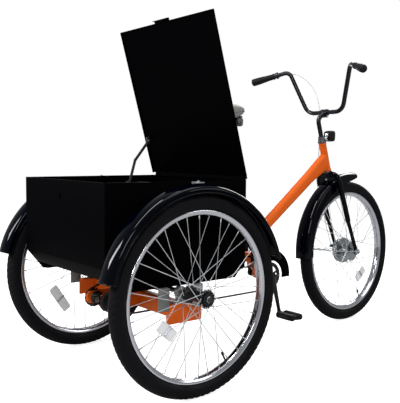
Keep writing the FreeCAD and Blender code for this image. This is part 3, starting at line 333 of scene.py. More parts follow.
galvanised = finish("galvanised_sheet", (112, 114, 112), 0.5, 0.7, 0.5,
                    (0.7, 45, 0.3, 160, 0.2))
alloy = finish("cast_alloy", (140, 145, 148), 0.3, 1, 0.5, (0.3, 25, 0.2, 700, 0.2))
chain_steel = finish("oiled_chain_steel", (62, 58, 54), 0.38, 0.9, 0.5,
                     (0.6, 60, 0.25, 1200, 0.2))
hub_black = finish("hub_black", (13, 13, 16), 0.4, 0, 0.2, (0.4, 20, 0.15, 900, 0.1))
pedal_black = finish("pedal_black", (9, 9, 11), 0.5, 0, 0.12, (0.5, 35, 0.2, 1600, 0.25))


# %% Making a piece
def settle(name, mesh, material, body, sharp, replaces):
    """A mesh as a piece: smooth but for its sharp edges, with its material, on its body and for its node."""
    mesh.polygons.foreach_set("use_smooth", np.ones(len(mesh.polygons), bool))
    mesh.set_sharp_from_angle(angle=math.radians(sharp))
    mesh.materials.append(material)
    piece = add(name, mesh)
    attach(piece, body)
    if replaces:
        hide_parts(replaces)
    return piece


def make(name, shape, material, body="frame", sharp=40, replaces=None):
    """A finished piece from a shape or a list of shapes, doubles merged and faces outwards."""
    points, faces = join(shape) if isinstance(shape, list) else shape
    mesh = bpy.data.meshes.new(name)
    mesh.from_pydata(place(points, body in STEERED), [], faces)
    work = bmesh.new()
    work.from_mesh(mesh)
    bmesh.ops.remove_doubles(work, verts=work.verts, dist=2e-6)
    bmesh.ops.dissolve_degenerate(work, edges=work.edges, dist=1e-7)
    bmesh.ops.recalc_face_normals(work, faces=work.faces)
    work.to_mesh(mesh)
    work.free()
    return settle(name, mesh, material, body, sharp, replaces)


# %% [markdown]
# ## The brake cable
# A thin grey cable leaves the lever on the left grip, arches over to the stem and runs down the left fork
# blade to the drum brake. A smooth spline through a few control points is how such a cable hangs, so it is
# a curve with a round bevel rather than a mesh.

# %% Brake cable
cable_grey = finish("cable_grey_plastic", (172, 174, 176), 0.42, 0, 0.4,
                    (0.3, 30, 0.2, 1500, 0.1))
CABLE_ROUTE = [(984, 225, 1176), (1000, 203, 1181), (1010, 181, 1182), (1017, 156, 1180), (1027, 129, 1169),
               (1041, 97, 1141), (1055, 74, 1108), (1055, 51, 1060), (1056, 40, 1012), (1062, 39, 975),
               (1062, 42, 930), (1060, 44, 884), (1062, 47, 836), (1066, 52, 788), (1070, 62, 740),
               (1077, 73, 692), (1091, 76, 640), (1108, 75, 588), (1128, 74, 536), (1143, 72, 488),
               (1148, 65, 444), (1150, 53, 405), (1151, 42, 366.5)]
route = place(CABLE_ROUTE, steer=True)
cable_line = bpy.data.curves.new("brake_cable_outer", "CURVE")
cable_line.dimensions = "3D"
cable_line.resolution_u = 10
cable_line.bevel_depth = 0.002
cable_line.bevel_resolution = 3
spline = cable_line.splines.new("NURBS")
spline.points.add(len(route) - 1)
spline.points.foreach_set("co", np.concatenate([route, np.ones((len(route), 1))], 1).ravel())
spline.order_u = 3
spline.use_endpoint_u = True
cable_line.materials.append(cable_grey)
cable = add("brake_cable_outer", cable_line)
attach(cable, "steering")
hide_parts("brake_cable")
print("cable ends", route[0].round(3), route[-1].round(3))

# %% [markdown]
# ## Profiles with soft corners
# Turned and pressed parts have no razor edges. A profile is written with few corners, and each corner is
# then replaced by a short curve, which catches the light as the real edge does.


# %% Rounded profiles
def rounded(profile, cut=1.0, fine=4, closed=False):
    """Corner P becomes (1-t)^2 A + 2t(1-t) P + t^2 B, where A and B lie a cut away on its two sides."""
    p = np.asarray(profile, float)
    before, after = np.roll(p, 1, 0), np.roll(p, -1, 0)
    if not closed:
        before[0], after[-1] = p[0], p[-1]
    ends = []
    for other in (before, after):
        length = np.linalg.norm(other - p, axis=1, keepdims=True)
        ends.append(p + (other - p) * np.minimum(cut, 0.45 * length) / np.maximum(length, 1e-9))
    t = np.linspace(0, 1, fine)[:, None, None]
    curve = (1 - t) ** 2 * ends[0] + 2 * t * (1 - t) * p + t ** 2 * ends[1]
    return curve.transpose(1, 0, 2).reshape(-1, 2)


def bend(points, radii, steps=12):
    """Corners of a path rounded by arcs c + R (e1 cos t + e2 sin t), tangent to both of their runs."""
    p = np.asarray(points, float)
    corner = p[1:-1]
    back, ahead = unit(p[:-2] - corner), unit(p[2:] - corner)
    half = np.arccos(np.clip((back * ahead).sum(1), -1, 1))[:, None] / 2
    radius = np.asarray(radii, float)[:, None]
    start = corner + back * radius / np.tan(half)
    centre = corner + unit(back + ahead) * radius / np.sin(half)
    e1, e2 = (start - centre) / radius, -back
    t = np.linspace(0, 1, steps)[None, :, None] * (math.pi - 2 * half)[:, None]
    arcs = centre[:, None] + radius[:, None] * (np.cos(t) * e1[:, None] + np.sin(t) * e2[:, None])
    return np.concatenate([p[:1], arcs.reshape(-1, 3), p[-1:]])


def sleeve(low, high, outer, inner=0):
    """The profile of a plain round bar, or of a sleeve, between two ends."""
    return [(low, inner), (low, outer), (high, outer), (high, inner)]


def rect(x0, z0, x1, z1):
    """The corners of a rectangle."""
    return [(x0, z0), (x1, z0), (x1, z1), (x0, z1)]


def turned(profile, start, along, steps=48, cut=0.8, fine=4):
    """A solid turned part with soft corners, about any axis."""
    return spin(rounded(profile, cut, fine), start, along, steps)


def ringed(profile, centre, steps, cut=0.8, fine=3):
    """A turned part with a bore and soft corners, about the Y axis."""
    return lathe(rounded(profile, cut, fine, closed=True), centre, steps, closed=True)


def on_shaft(centre, profile, steps=48, cut=0.8, fine=3):
    """A turned part with soft corners, about the Y axis through a centre."""
    return lathe(rounded(profile, cut, fine), centre * [1, 0, 1], steps)


def plated(outline, low, high, cut=1.0, fine=3, axis=1):
    """A plate with soft corners."""
    return slab(rounded(outline, cut, fine, closed=True), low, high, axis)


def screw_head(at, along, across=10.0, tall=5.0):
    """A hexagonal head or nut with its edge turned off: a six-step spin of a chamfered profile."""
    r = across / math.sqrt(3)
    return spin([(0, 0), (0, r), (tall * 0.8, r), (tall, r * 0.86), (tall, 0)], at, along, steps=6)


def washer(at, along, radius, thick=1.5):
    """A flat ring with softened edges under a nut."""
    return turned(sleeve(0, thick, radius), at, along, 32, 0.4)


# %% [markdown]
# ## Wheels
# Each wheel is a balloon tyre on a chromed rim, laced to its hub by 36 crossed spokes. The tyre is a torus
# of oval section whose tread is cut by a formula, because a formula keeps every block the same size.
# Spokes are worked out all at once from the same lacing rule that the model's spokes follow.

# %% Tyres and rims
WHEELS = {"rear_left": (HALF_TRACK * Y + WHEEL_R * Z, "left_rear_wheel", "rear_%s_left"),
          "rear_right": (-HALF_TRACK * Y + WHEEL_R * Z, "right_rear_wheel", "rear_%s_right"),
          "front": (FRONT_HUB, "front_wheel", "front_%s")}


def tyre_skin(centre, rows=720, cols=38, blocks=90):
    """A torus of oval section: y = 27 sin f and r = 307.2 + (26.3 - groove) cos f, f from bead to bead.

    The groove is a smooth pulse in the angle round the wheel, slanted by |f|, and a ring each side of the
    middle rib; both fade out where the tread ends. Two fine ribs run round each side wall.
    """
    f = np.radians(np.linspace(-158, 158, cols))
    away = np.abs(f)
    a = around(rows)[:, None]
    tread = np.clip((1.02 - away) / 0.12, 0, 1)
    wave = np.cos(a * blocks + 5.0 * away + np.where(f > 0, math.pi, 0.0))
    cross = np.clip((wave - 0.35) / 0.35, 0, 1) * np.clip((away - 0.24) / 0.08, 0, 1)
    groove = 1.6 * tread * np.maximum(cross, bell(away, 0.27, 0.055) + bell(away, 0.62, 0.06))
    rib = 0.5 * (bell(away, 1.38, 0.03) + bell(away, 2.2, 0.04))
    r = 307.2 + (26.3 - groove + rib) * np.cos(f)
    return grid(polar(r, a, (27.0 - groove + rib) * np.sin(f)) + centre, wrap_rows=True)


rim_half = [(0, 265.7), (5, 265.8), (12.4, 268.6), (15.6, 274), (17.2, 279.4), (17.2, 282.4), (15.8, 283.6),
            (14.4, 282.4), (13.2, 277), (9, 271.4), (0, 270.4)]
rim_profile = rim_half + [(-y, r) for y, r in rim_half[-2:0:-1]]
for name, (centre, body, node) in WHEELS.items():
    make("tyre_" + name, tyre_skin(centre), rubber, body, 50, node % "tyre")
    make("rim_" + name, ringed(rim_profile, centre, 180, 1.6, 4), chrome, body, 60, node % "rim")
print("tyres and rims for", len(WHEELS), "wheels")

# %% [markdown]
# ### Spokes
# A spoke hooks through a hole of the hub's flange and runs, at a slant, to a nipple in the rim. Half of them
# lean one way and half the other, so that they can carry the turning force in both directions.

# %% Spokes with their nipples and valves
SPOKE_END_R, ELBOW = 265.9, 5.6


def spoke_lines(centre, holes, faces):
    """Both ends of 36 spokes: hub (R cos a, s y, R sin a) to rim (265.9 cos (a+b), 3 s, 265.9 sin (a+b)).

    s is the side, a steps by 20 degrees with the right side half a step on, and b is +60 for the spokes on
    the flange's outer face and -60 for those on its inner face.
    """
    number = np.arange(18)
    outside = number % 2 == 0
    starts, ends = [], []
    for side, hole, (outer_face, inner_face) in zip((1, -1), holes, faces):
        a = np.radians(number * 20.0 + (0 if side > 0 else 10.0))
        starts.append(polar(hole, a, side * np.where(outside, outer_face + 2.3, inner_face - 1.2)))
        ends.append(polar(SPOKE_END_R, a + np.radians(np.where(outside, 60.0, -60.0)), side * 3.0))
    return np.concatenate(starts) + centre, np.concatenate(ends) + centre


REAR_LACING = ((27.5, 27.5), ((47.0, 43.0), (47.0, 43.0)), 45.0)
FRONT_LACING = ((59.0, 43.5), ((16.0, 12.0), (36.0, 32.0)), 25.0)
for name, valve_turn in (("rear_left", 2.4), ("rear_right", -1.1), ("front", -1.125)):
    centre, body = WHEELS[name][:2]
    holes, faces, between = FRONT_LACING if name == "front" else REAR_LACING
    starts, ends = spoke_lines(centre, holes, faces)
    ahead = unit(ends - starts)
    off = starts[:, 1] - centre[1]
    elbows = starts - (np.sign(off) * np.where(np.abs(off) > between, ELBOW, -ELBOW))[:, None] * Y
    make("spokes_" + name, [bars(starts, ends, 1.3, 6), bars(elbows, starts, 1.7, 8)], spoke_steel, body)
    nipples = bars(ends - ahead * 13, ends + ahead * 1.0, 2.0, 8)
    make("nipples_" + name, nipples, zinc, body)
    out = -math.cos(valve_turn) * X - math.sin(valve_turn) * Z
    valve = [(0, 0), (0, 3.0), (26, 3.0), (26, 4.2), (38, 4.2), (40, 0)]
    make("valve_" + name, turned(valve, centre - out * 266.5, out, 14), grip_rubber, body)
print("spokes", len(starts), "each", round(float(np.linalg.norm(ends - starts, axis=1)[0])), "mm long")

# %% [markdown]
# ### Hubs
# The rear hubs are plain black barrels with two flanges, held by a toothed lock ring and a bright nut. The
# front hub is a cast drum brake whose fins carry heat away. All of them are turned, so each is a profile
# spun about the axle.

# %% Hubs
BARREL = [(-55, 8.7), (-55, 16), (-48, 17), (-47, 31), (-43, 31), (-41, 24), (-34, 19), (0, 17.5), (34, 19),
          (41, 24), (43, 31), (47, 31), (48, 17), (49.8, 16), (49.8, 8.7)]
for name, side in (("rear_left", 1), ("rear_right", -1)):
    centre, body, node = WHEELS[name]
    barrel = ringed([(side * y, r) for y, r in BARREL], centre, 72, 1.2)
    make("hub_barrel_" + name, barrel, hub_black, body, replaces=node % "hub")
    teeth = polar(21.5 + 2.6 * np.clip(np.cos(12 * around(96)) * 3, -1, 1), around(96), 0.0) + centre
    lock_ring = slab(teeth[:, ::2], centre[1] + side * 48.5, centre[1] + side * 55.0)
    make("hub_lock_ring_" + name, lock_ring, hub_black, body, 30)
drum = [(-42, 5.2), (-42, 13), (-37, 18), (-36, 26), (-36, 46), (-32, 47), (-31, 40), (-27, 27), (-20, 25),
        (4, 25.5), (9, 33), (11, 48), (12, 61.5), (16, 61.5), (17, 57), (19.5, 57), (20, 54.5), (22, 54.5),
        (22.5, 57), (25, 57), (25.5, 54.5), (27.5, 54.5), (28, 57), (30.5, 57), (31, 54.5), (33, 54.5),
        (33.5, 57), (36, 57), (36, 5.2)]
make("drum_hub", ringed(drum, FRONT_HUB, 96), alloy, "front_wheel", 35, "front_hub")
print("front drum", max(r for y, r in drum) * 2, "mm across")

# %% [markdown]
# ### Spoke reflectors
# Each wheel carries a pale plastic reflector clipped between crossing spokes. It is a rounded plate with a
# raised rim, held by a clip round its middle.


# %% Reflectors
def reflector(centre, radius, degrees, tilt, y, size):
    """A plate in the wheel's plane: a squarish superellipse outline, two faces, and a rim 2 mm proud."""
    a = around(72)
    u, v = signed(np.cos(a), 0.2) * size[0] / 2, signed(np.sin(a), 0.2) * size[1] / 2
    share = np.array([0.0, 0.86, 0.9, 1.0, 1.0, 0.9, 0.86, 0.0])[:, None]
    depth = np.array([2.0, 2.0, 4.0, 3.4, -3.4, -4.0, -2.0, -2.0])[:, None] + 0 * a
    p = math.radians(tilt)
    x = (u * math.cos(p) - v * math.sin(p)) * share
    z = (u * math.sin(p) + v * math.cos(p)) * share
    return grid(np.stack([x, depth + y, z], -1) + polar(radius, math.radians(degrees), 0.0) + centre)


reflector_grey = finish("reflector_grey", (205, 206, 208), 0.22, 0, 0.5,
                        (0.25, 150, 0.2, 260, 0.5), coat=(0.4, 0.08))
for name, radius, degrees, tilt, size in (("rear_left", 174, -135, -56, (116.0, 37.0)),
                                          ("rear_right", 164, -148, -41, (74.0, 38.0)),
                                          ("front", 157, -52, 38, (78.0, 36.0))):
    centre, body = WHEELS[name][:2]
    spot = (centre, radius, degrees, tilt)
    make("spoke_reflector_" + name, reflector(*spot, -19.0, size), reflector_grey, body, 30)
    clip = [reflector(*spot, y, (5.0, size[1] + 2)) for y in (-15.6, -22.4)]
    make("reflector_clip_" + name, clip, spoke_steel, body, 30)
print("reflectors on", len(WHEELS), "wheels")

# %% [markdown]
# ## Mudguards
# A mudguard is a strip of steel pressed into a dome and rolled round the wheel, with its edges curled so
# that they don't cut. The shell is a mid-line carried round an arc, and its thickness swells into a bead
# at every edge. Glossy enamel then draws the long highlights that show this shape.


# %% Mudguard shells
def guard_shell(centre, crown, half, skirt, start, end, fade=1e-6):
    """A mid-line (half sin u, shoulder + rise cos u) with straight skirts, carried round an arc.

    The wall is 1.6 mm thick, and within 4 mm of an edge it swells by 2.4 sqrt(1 - ((d - 2) / 2)^2), with d
    the distance from that edge. The two walls are the mid-line plus and minus half of the thickness.
    With a fade length the skirts shrink towards the start by the square root of the distance from it.
    """
    shoulder = crown - 0.42 * half
    u = np.radians(np.linspace(-90, 90, 41))
    near = np.array([0, 0.6, 1.2, 2.0, 2.8, 3.4, 4.0, 6.0])
    side = np.concatenate([skirt + near, np.linspace(skirt + 9, shoulder - 1, 5)])
    y = np.concatenate([-half + 0 * side, half * np.sin(u), half + 0 * side])
    r = np.concatenate([side, shoulder + (crown - shoulder + 0.8) * np.cos(u), side[::-1]])
    run = np.concatenate([[0], np.cumsum(np.hypot(np.diff(y), np.diff(r)))])
    dy, dr = unit(np.stack([np.gradient(y), np.gradient(r)], 1)).T
    a0, a1 = math.radians(start), math.radians(end)
    tips = near / crown
    a = np.concatenate([a0 + tips, np.linspace(a0 + 10 / crown, a1 - 10 / crown, 150), a1 - tips[::-1]])

    def swell(distance):
        return 2.4 * np.sqrt(np.clip(1 - ((distance - 2) / 2) ** 2, 0, 1))

    tip = (np.minimum(a - a0, a1 - a) * crown)[:, None]
    half_wall = (1.6 + np.maximum(swell(np.minimum(run, run[-1] - run)), swell(tip))) / 2
    keep = np.sqrt(np.clip((a - a0) * crown / fade + 0.02, 0, 1))[:, None]
    walls = []
    for sign in (1, -1):
        rr = r + sign * dy * half_wall
        rr = np.where(rr < shoulder, shoulder - (shoulder - rr) * keep, rr)
        walls.append(polar(rr, a[:, None], y - sign * dr * half_wall))
    ring = np.concatenate([walls[0], walls[1][:, ::-1]], 1)
    middle = sum(walls) / 2
    middle = np.concatenate([middle, middle[:, ::-1]], 1)
    return grid(np.concatenate([middle[:1], ring, middle[-1:]]) + centre)


# %% Rear and front mudguards
BOX_HALF, STRAP_R = 289.0, 342.0
CLIP_STEPS = ((289, 299, 688, 690.5), (296.5, 299, 688, 703), (296.5, HALF_TRACK - 44, 700, 703))
for name, side in SIDES:
    centre = WHEELS["rear_" + name][0]
    shell = guard_shell(centre, crown=366.0, half=37.2, skirt=338.0, start=16.0, end=167.0)
    make("mudguard_shell_rear_" + name, shell, gloss_black, "frame", 40, "rear_mudguard_" + name)
    fixings = []
    for angle in np.radians([62.0, 118.0]):
        x, z = STRAP_R * math.cos(angle), WHEEL_R + STRAP_R * math.sin(angle)
        strap = rect(x - 9, z - 1.5, x + 9, z + 1.5)
        fixings.append(plated(strap, side * BOX_HALF, side * (HALF_TRACK - 37.5)))
        fixings.append(screw_head([x, side * (BOX_HALF + 10), z + 1.5], Z, 8, 4))
    make("mudguard_straps_rear_" + name, fixings, gloss_black, "frame", 30)
    clip = [screw_head([46, side * (HALF_TRACK - 60), 702.5], Z, 9, 4.5)]
    clip += [plated(rect(34, foot, 58, top), side * low, side * high, 0.8)
             for low, high, foot, top in CLIP_STEPS]
    make("mudguard_clip_rear_" + name, clip, zinc, "frame", 30)

guard_centre = FRONT_HUB + 13.0 * X + 13.0 * Z
shell = guard_shell(guard_centre, crown=362.0, half=35.4, skirt=312.0, start=85.5, end=183.0, fade=150.0)
make("mudguard_shell_front", shell, gloss_black, "steering", replaces="front_mudguard")
stays, bolts = [], []
for side in (1, -1):
    foot = FRONT_HUB + np.array([-14.0, side * 70.5, 3.0])
    tail = guard_centre + polar(320.0, math.radians(176), side * 38.5)
    path = bend([foot, foot + np.array([-60.0, side * -3.0, 4.0]), tail + 6.0 * X], [90], 10)
    stays.append(tube(path, 2.4, 12, guide=(0.1, 0.2, 0.97)))
    ring = [(68.9 * side, 5.1), (68.9 * side, 13), (71.9 * side, 13), (71.9 * side, 5.1)]
    stays.append(ringed(ring, FRONT_HUB, 40, 0.5))
    bolts.append(screw_head(tail + side * 1.0 * Y, side * Y, 8, 4))
    bolts.append(screw_head(tail - side * 1.5 * Y, -side * Y, 8, 3))
make("mudguard_stays_front", stays, zinc, "steering", 35)
make("mudguard_bolts_front", bolts, zinc, "steering", 30)
print("mudguards done, front tail at", np.round(place(tail, True), 3))

# %% [markdown]
# ## Orange frame tubes
# The main tube is one deep pressed tube that flares where it is welded to the head tube. Its section is a
# stadium, two half circles joined by straight sides, and only its height changes along the way. Beads of
# weld are thin ripple-edged rings where tubes meet.


# %% Main tube
def stadium_loft(centres, ups, half_high, half_wide, sides=56):
    """Ring k = centre + y cos(t) w + up (sin(t) w + sign(sin t)(h - w)), with its ends brought in."""
    t = around(sides) + math.pi / sides
    high, wide = half_high[:, None], half_wide[:, None]
    rise = np.sin(t) * wide + np.sign(np.sin(t)) * (high - wide)
    return capped(centres[:, None] + rise[..., None] * ups[:, None] + (np.cos(t) * wide)[..., None] * Y)


SEAT_LEAN, TUBE_R = math.radians(20), 17.0
SEAT_DIR = polar(1.0, math.pi / 2 + SEAT_LEAN, 0.0)
JOINT = BRACKET + SEAT_DIR * 162
tube_high = np.array([945.0, 0.0, 698.0])
slope = unit(tube_high - JOINT)
knee = tube_high - slope * 20
tube_head = HEAD_POINT - HEAD_UP * 11
s = np.linspace(0, 1, 30)[:, None]
flare = (1 - s) ** 2 * knee + 2 * s * (1 - s) * (knee + slope * 42) + s ** 2 * tube_head
centres = np.concatenate([JOINT + (knee - JOINT) * s, flare[1:]])
ups = np.cross(unit(np.gradient(centres, axis=0)), Y)
blend = np.linspace(0, 1, 29)[:, None] ** 1.6
ups[30:] = ups[30:] * (1 - blend) + HEAD_UP * blend
high = np.concatenate([np.linspace(23, 28, 30), 28 + 13 * s[1:, 0] ** 1.6])
wide = np.concatenate([np.full(30, TUBE_R), np.linspace(TUBE_R, 16.2, 30)[1:]])
make("main_tube_skin", stadium_loft(centres, unit(ups), high, wide), orange, replaces="main_tube")
print("main tube", round(float(np.linalg.norm(tube_head - JOINT))), "mm")


# %% Head tube, seat tube and bottom bracket
def on_seat_line(z):
    """The point of the seat tube's middle line at a height."""
    return BRACKET + SEAT_DIR * ((z - BRACKET[2]) / SEAT_DIR[2])


head = [(0, 12.9), (0, 18.2), (9, 18.2), (11, 17), (123, 17), (125, 18.2), (134, 18.2), (134, 12.9)]
make("head_tube_skin", turned(head, HEAD_POINT - HEAD_UP * 60, HEAD_UP, 64, 1.0, 3), orange,
     replaces="head_tube")
SEAT_TOP = on_seat_line(800.0)
foot = BRACKET + SEAT_DIR * 19.5
tall = float(np.linalg.norm(SEAT_TOP - foot))
seat = [(0, 0), (0, TUBE_R), (tall - 30, TUBE_R), (tall - 29, 18.4), (tall, 18.4), (tall, 12.9)]
make("seat_tube_skin", turned(seat, foot, SEAT_DIR, 56, fine=3), orange, replaces="seat_tube")
shell = [(-34, 9), (-34, 20.2), (-32.5, 21), (32.5, 21), (34, 20.2), (34, 9)]
make("bottom_bracket_skin", on_shaft(BRACKET, shell, 56, 0.6), orange, replaces="bottom_bracket")
print("seat tube", round(tall), "mm")


# %% Weld beads
def weld_bead(points, radius=2.2, sides=8):
    """A closed tube round a ring of points, its radius r (1 + 0.22 |sin 7 a|) like stacked weld ripples."""
    ahead = unit(np.roll(points, -1, 0) - np.roll(points, 1, 0))
    out = points - points.mean(0)
    out = unit(out - (out * ahead).sum(1, keepdims=True) * ahead)
    a = around(sides)[None, :, None]
    ripple = 1 + 0.22 * np.abs(np.sin(np.linspace(0, 14 * math.pi, len(points))))
    ring = np.cos(a) * out[:, None] + np.sin(a) * np.cross(ahead, out)[:, None]
    return grid(points[:, None] + radius * ripple[:, None, None] * ring, wrap_rows=True)


t = around(96)[:, None]
bead_r = TUBE_R + 0.2
seat_ahead = np.cross(Y, SEAT_DIR)
foot_ring = BRACKET + SEAT_DIR * 20 + bead_r * (np.cos(t) * Y - np.sin(t) * seat_ahead)
make("weld_seat_tube", weld_bead(foot_ring), orange, sharp=60)
rise = np.sin(t) * TUBE_R + np.sign(np.sin(t)) * 6.5
ring = rise * np.cross(slope, Y) + np.cos(t) * bead_r * Y
reach = np.sqrt(np.clip((bead_r + 0.1) ** 2 - (bead_r * np.cos(t)) ** 2, 0, None))
ring = ring + slope * (reach - (ring @ seat_ahead)[:, None]) / (slope @ seat_ahead)
make("weld_main_tube", weld_bead(JOINT + ring), orange, sharp=60)
print("weld rings of", len(t), "points")

# %% [markdown]
# ## Fork and front axle
# The fork crown is a pressed yoke with sloping shoulders, and the two blades bend and taper towards the
# wheel. Each is a round bar whose radius changes along a path of a few points, rounded where it bends.


# %% Fork
def taper(path, marks, radii):
    """A radius for each point of a path, straight between the marks at shares of its way."""
    return np.interp(np.linspace(0, 1, len(path)), marks, radii)


crown_at = HEAD_POINT + HEAD_UP * (-80 / math.cos(HEAD_LEAN))
half = [(-57, -44), (-57, -28), (-52, -10), (-36, 3), (-14, 8)]
shoulders = half + [(-y, rise) for y, rise in half[::-1]]
path = bend([crown_at + HEAD_UP * rise + y * Y for y, rise in shoulders],
            [14, 16, 24, 30, 30, 24, 16, 14], 5)
half = [(-43, -58), (-54, -58), (-50, -6), (-20, 8)]
web = half + [(-y, rise) for y, rise in half[::-1]] + [(39, -31), (0, -27), (-39, -31)]
points, faces = plated(web, -10.0, 10.0, 3, axis=0)
pieces = [tube(path, 15 - 2.4 * np.abs(path[:, 1]) / 57, 28, guide=(0.96, 0.0, 0.28)),
          (crown_at + points @ np.stack([HEAD_AHEAD, Y, HEAD_UP]), faces),
          turned(sleeve(0, 150, 12.7), crown_at, HEAD_UP, 40, 0.5)]
blade = np.array([crown_at - HEAD_UP * 24 / math.cos(HEAD_LEAN), [1150.0, 0.0, 484.0],
                  FRONT_HUB + 14 * Z - 2 * X])
eye = polar(14.5, around(48), 0.0)[:, ::2]
eye[:, 1] += 6 * np.clip(np.sin(around(48)), 0, 1)
for side in (1, -1):
    path = bend(blade + side * 57.0 * Y, [260], 24)
    pieces.append(tube(path, taper(path, [0, 0.3, 1], [12.0, 12.0, 8.6]), 28))
    pieces.append(slab(FRONT_HUB[::2] + eye, side * 54.2, side * 59.8))
make("fork_skin", pieces, gloss_black, "steering", replaces="fork")
bolts = [screw_head(crown_at + HEAD_UP * rise - HEAD_AHEAD * 9 + y * Y, -HEAD_AHEAD, 9, 6)
         for y, rise in ((3.5, -16), (-36, -30))]
make("fork_bolts", bolts, zinc, "steering", 30)
print("fork blade length", round(float(np.linalg.norm(np.diff(path, axis=0), axis=1).sum())), "mm")

# %% Front axle and brake plate
axle = [turned(sleeve(0, 152, 5), FRONT_HUB - 76 * Y, Y, 24),
        turned(sleeve(0, 12, 9), FRONT_HUB - 54 * Y, Y, 32)]
for side in (1, -1):
    axle.append(washer(FRONT_HUB + side * 60.0 * Y, side * Y, 12))
    axle.append(screw_head(FRONT_HUB + side * 61.5 * Y, side * Y, 15, 7.5))
make("front_axle_nuts", axle, zinc, "steering", 30, "front_axle")
cover = [(37.2, 5.3), (37.2, 53.5), (39.5, 53.5), (40.8, 50), (41, 30), (43.5, 26), (45, 14), (53.8, 13),
         (53.8, 5.3)]
arm = [(1142, 352), (1148, 368), (1204, 357.5), (1204, 343.5), (1150, 351)]
plate = [ringed(cover, FRONT_HUB, 80, 1.0), plated(arm, 42.0, 45.0, 4, 4)]
make("brake_plate", plate, alloy, "steering", 35, "drum_brake")
print("brake plate", max(r for y, r in cover) * 2, "mm across")

# %% [markdown]
# ## Headset, stem and handlebar
# The bar is one tube bent four times, so it is swept along runs and true arcs. The stem rises from the head
# tube and bends forward to its clamp. Both are black enamel, which picks up a cool edge light.

# %% Headset and stem
head_top = HEAD_POINT + HEAD_UP * 74.3
cup = [(0, 12.8), (0, 19), (4, 20), (7, 20), (8, 18.4), (10, 17.6), (11, 0)]
locknut = [(10.5, 0), (10.5, 17.5), (14, 17.5), (15, 16), (24, 15), (26, 13.8), (30, 13.5), (30, 10.6)]
crown_race = [(0, 0), (0, 18.6), (-5, 19.4), (-8, 19.2), (-9, 0)]
cups = [turned(cup, head_top, HEAD_UP, 56), turned(locknut, head_top, HEAD_UP, 56),
        turned(crown_race, HEAD_POINT - HEAD_UP * 60.2, HEAD_UP, 56),
        screw_head(head_top + HEAD_UP * 15.5, HEAD_UP, 29, 9)]
make("headset_cups", cups, stay_steel, "steering", 30, "headset")

BAR = np.array([1042.0, 0.0, 990.0])
stem_bend = HEAD_POINT + HEAD_UP * (178 / math.cos(HEAD_LEAN))
clamp = [(-18, 10.2), (-18, 14.2), (-16.5, 15.2), (-4, 15.2), (-3, 14.4), (3, 14.4), (4, 15.2),
         (16.5, 15.2), (18, 14.2), (18, 10.2)]
ear = [(1030, 972), (1046, 966), (1052, 976), (1040, 984)]
stem = [tube(bend([head_top, stem_bend, BAR], [24], 14), 10.5, 32, guide=Y), ringed(clamp, BAR, 48)]
stem += [plated(ear, side * 2.5, side * 14.0, 4, 4) for side in (-1, 1)]
make("stem_skin", stem, bar_black, "steering", replaces="stem")
bolts = [screw_head([1042, side * 14, 973.5], side * Y, 8, 4) for side in (-1, 1)]
bolts.append(turned([(0, 0), (0, 6), (5, 6), (6, 3), (6, 0)], stem_bend + HEAD_UP * 3.0, HEAD_UP, 24, 0.6))
make("stem_bolts", bolts, zinc, "steering", 30)
print("stem bends at", np.round(place(stem_bend, True), 3))

# %% Handlebar and grips
GRIP_TIP, GRIP_ROOT = np.array([887.0, 309.0, 1142.0]), np.array([994.0, 171.0, 1189.0])
half = np.array([GRIP_TIP, GRIP_ROOT, [1042.0, 97.0, 990.0]])
path = bend(np.concatenate([half, half[::-1] * [1, -1, 1]]), [28, 55, 55, 28], 18)
make("handlebar_skin", tube(path, 10.0, 32, guide=(0.97, 0.05, -0.24)), bar_black, "steering", 50,
     "handlebar")


def grip_skin(tip, along):
    """A moulded grip: r from 17.4 at its palm swell to 13, with round grooves, a domed end and a collar."""
    d = np.linspace(-4, 112, 240)
    ridged = np.clip((d - 8) / 3, 0, 1) * np.clip((98 - d) / 3, 0, 1)
    r = 13.0 + 4.4 * bell(d, 20, 50) - 0.9 * ridged * (0.5 + 0.5 * np.cos(d * TAU / 5.0)) ** 3
    r = np.where(d > 101, 14.2, r)
    r = np.where(d < 6, r * np.sqrt(np.clip(1 - ((6 - d) / 10.4) ** 2, 0, 1)), r)
    profile = np.stack([np.concatenate([[-4.2], d, [112]]), np.concatenate([[0], r, [10.1]])], 1)
    return spin(profile, tip, along, 40)


for name, side in SIDES:
    mirror = np.array([1, side, 1])
    make("grip_skin_" + name, grip_skin(GRIP_TIP * mirror, (GRIP_ROOT - GRIP_TIP) * mirror), grip_rubber,
         "steering", 50, "grip_" + name)
print("bar width", round(float(np.ptp(path[:, 1]))), "mm")

# %% [markdown]
# ### Brake lever
# A band holds a small housing on the bar beside the left grip, and a flat blade reaches along under the
# fingers. Its points are measured from the pivot, across the bar and along it, as a hand would reach.

# %% Brake lever
along = unit(GRIP_ROOT - GRIP_TIP)
across = unit(np.cross(Z, along))
grip_end = GRIP_TIP + along * 112
pivot = grip_end + along * 10 + across * 12
band = turned(sleeve(0, 14, 15.5, 10.1), grip_end + along * 3, along, 40, 1.2)
housing = tube([pivot + across * u + along * v for u, v in ((0, 0), (10, -1), (20, -2), (25, -3))],
               [9.5, 9.0, 8.0, 6.5], 24, guide=Z, squash=0.75)
path = bend([pivot + across * u + along * v for u, v in ((20, 2), (17, -30), (15, -80), (19, -100))],
            [60, 120], 10)
blade = tube(path, taper(path, [0, 0.3, 0.9, 1], [5.5, 4.6, 4.2, 5.0]), 20, guide=Z, squash=0.62)
make("brake_lever_skin", [band, housing, blade], bar_black, "steering", 45, "brake_lever")
screws = [screw_head(pivot + across * 16 + 6.0 * Z, Z, 7, 3),
          turned([(0, 0), (0, 4), (14, 4), (16, 3), (16, 0)], pivot + across * 14 - along * 2,
                 CABLE_ROUTE[0] - (pivot + across * 14), 20, 0.6)]
make("brake_lever_screws", screws, zinc, "steering", 35)
print("lever at", np.round(place(pivot, True), 3))

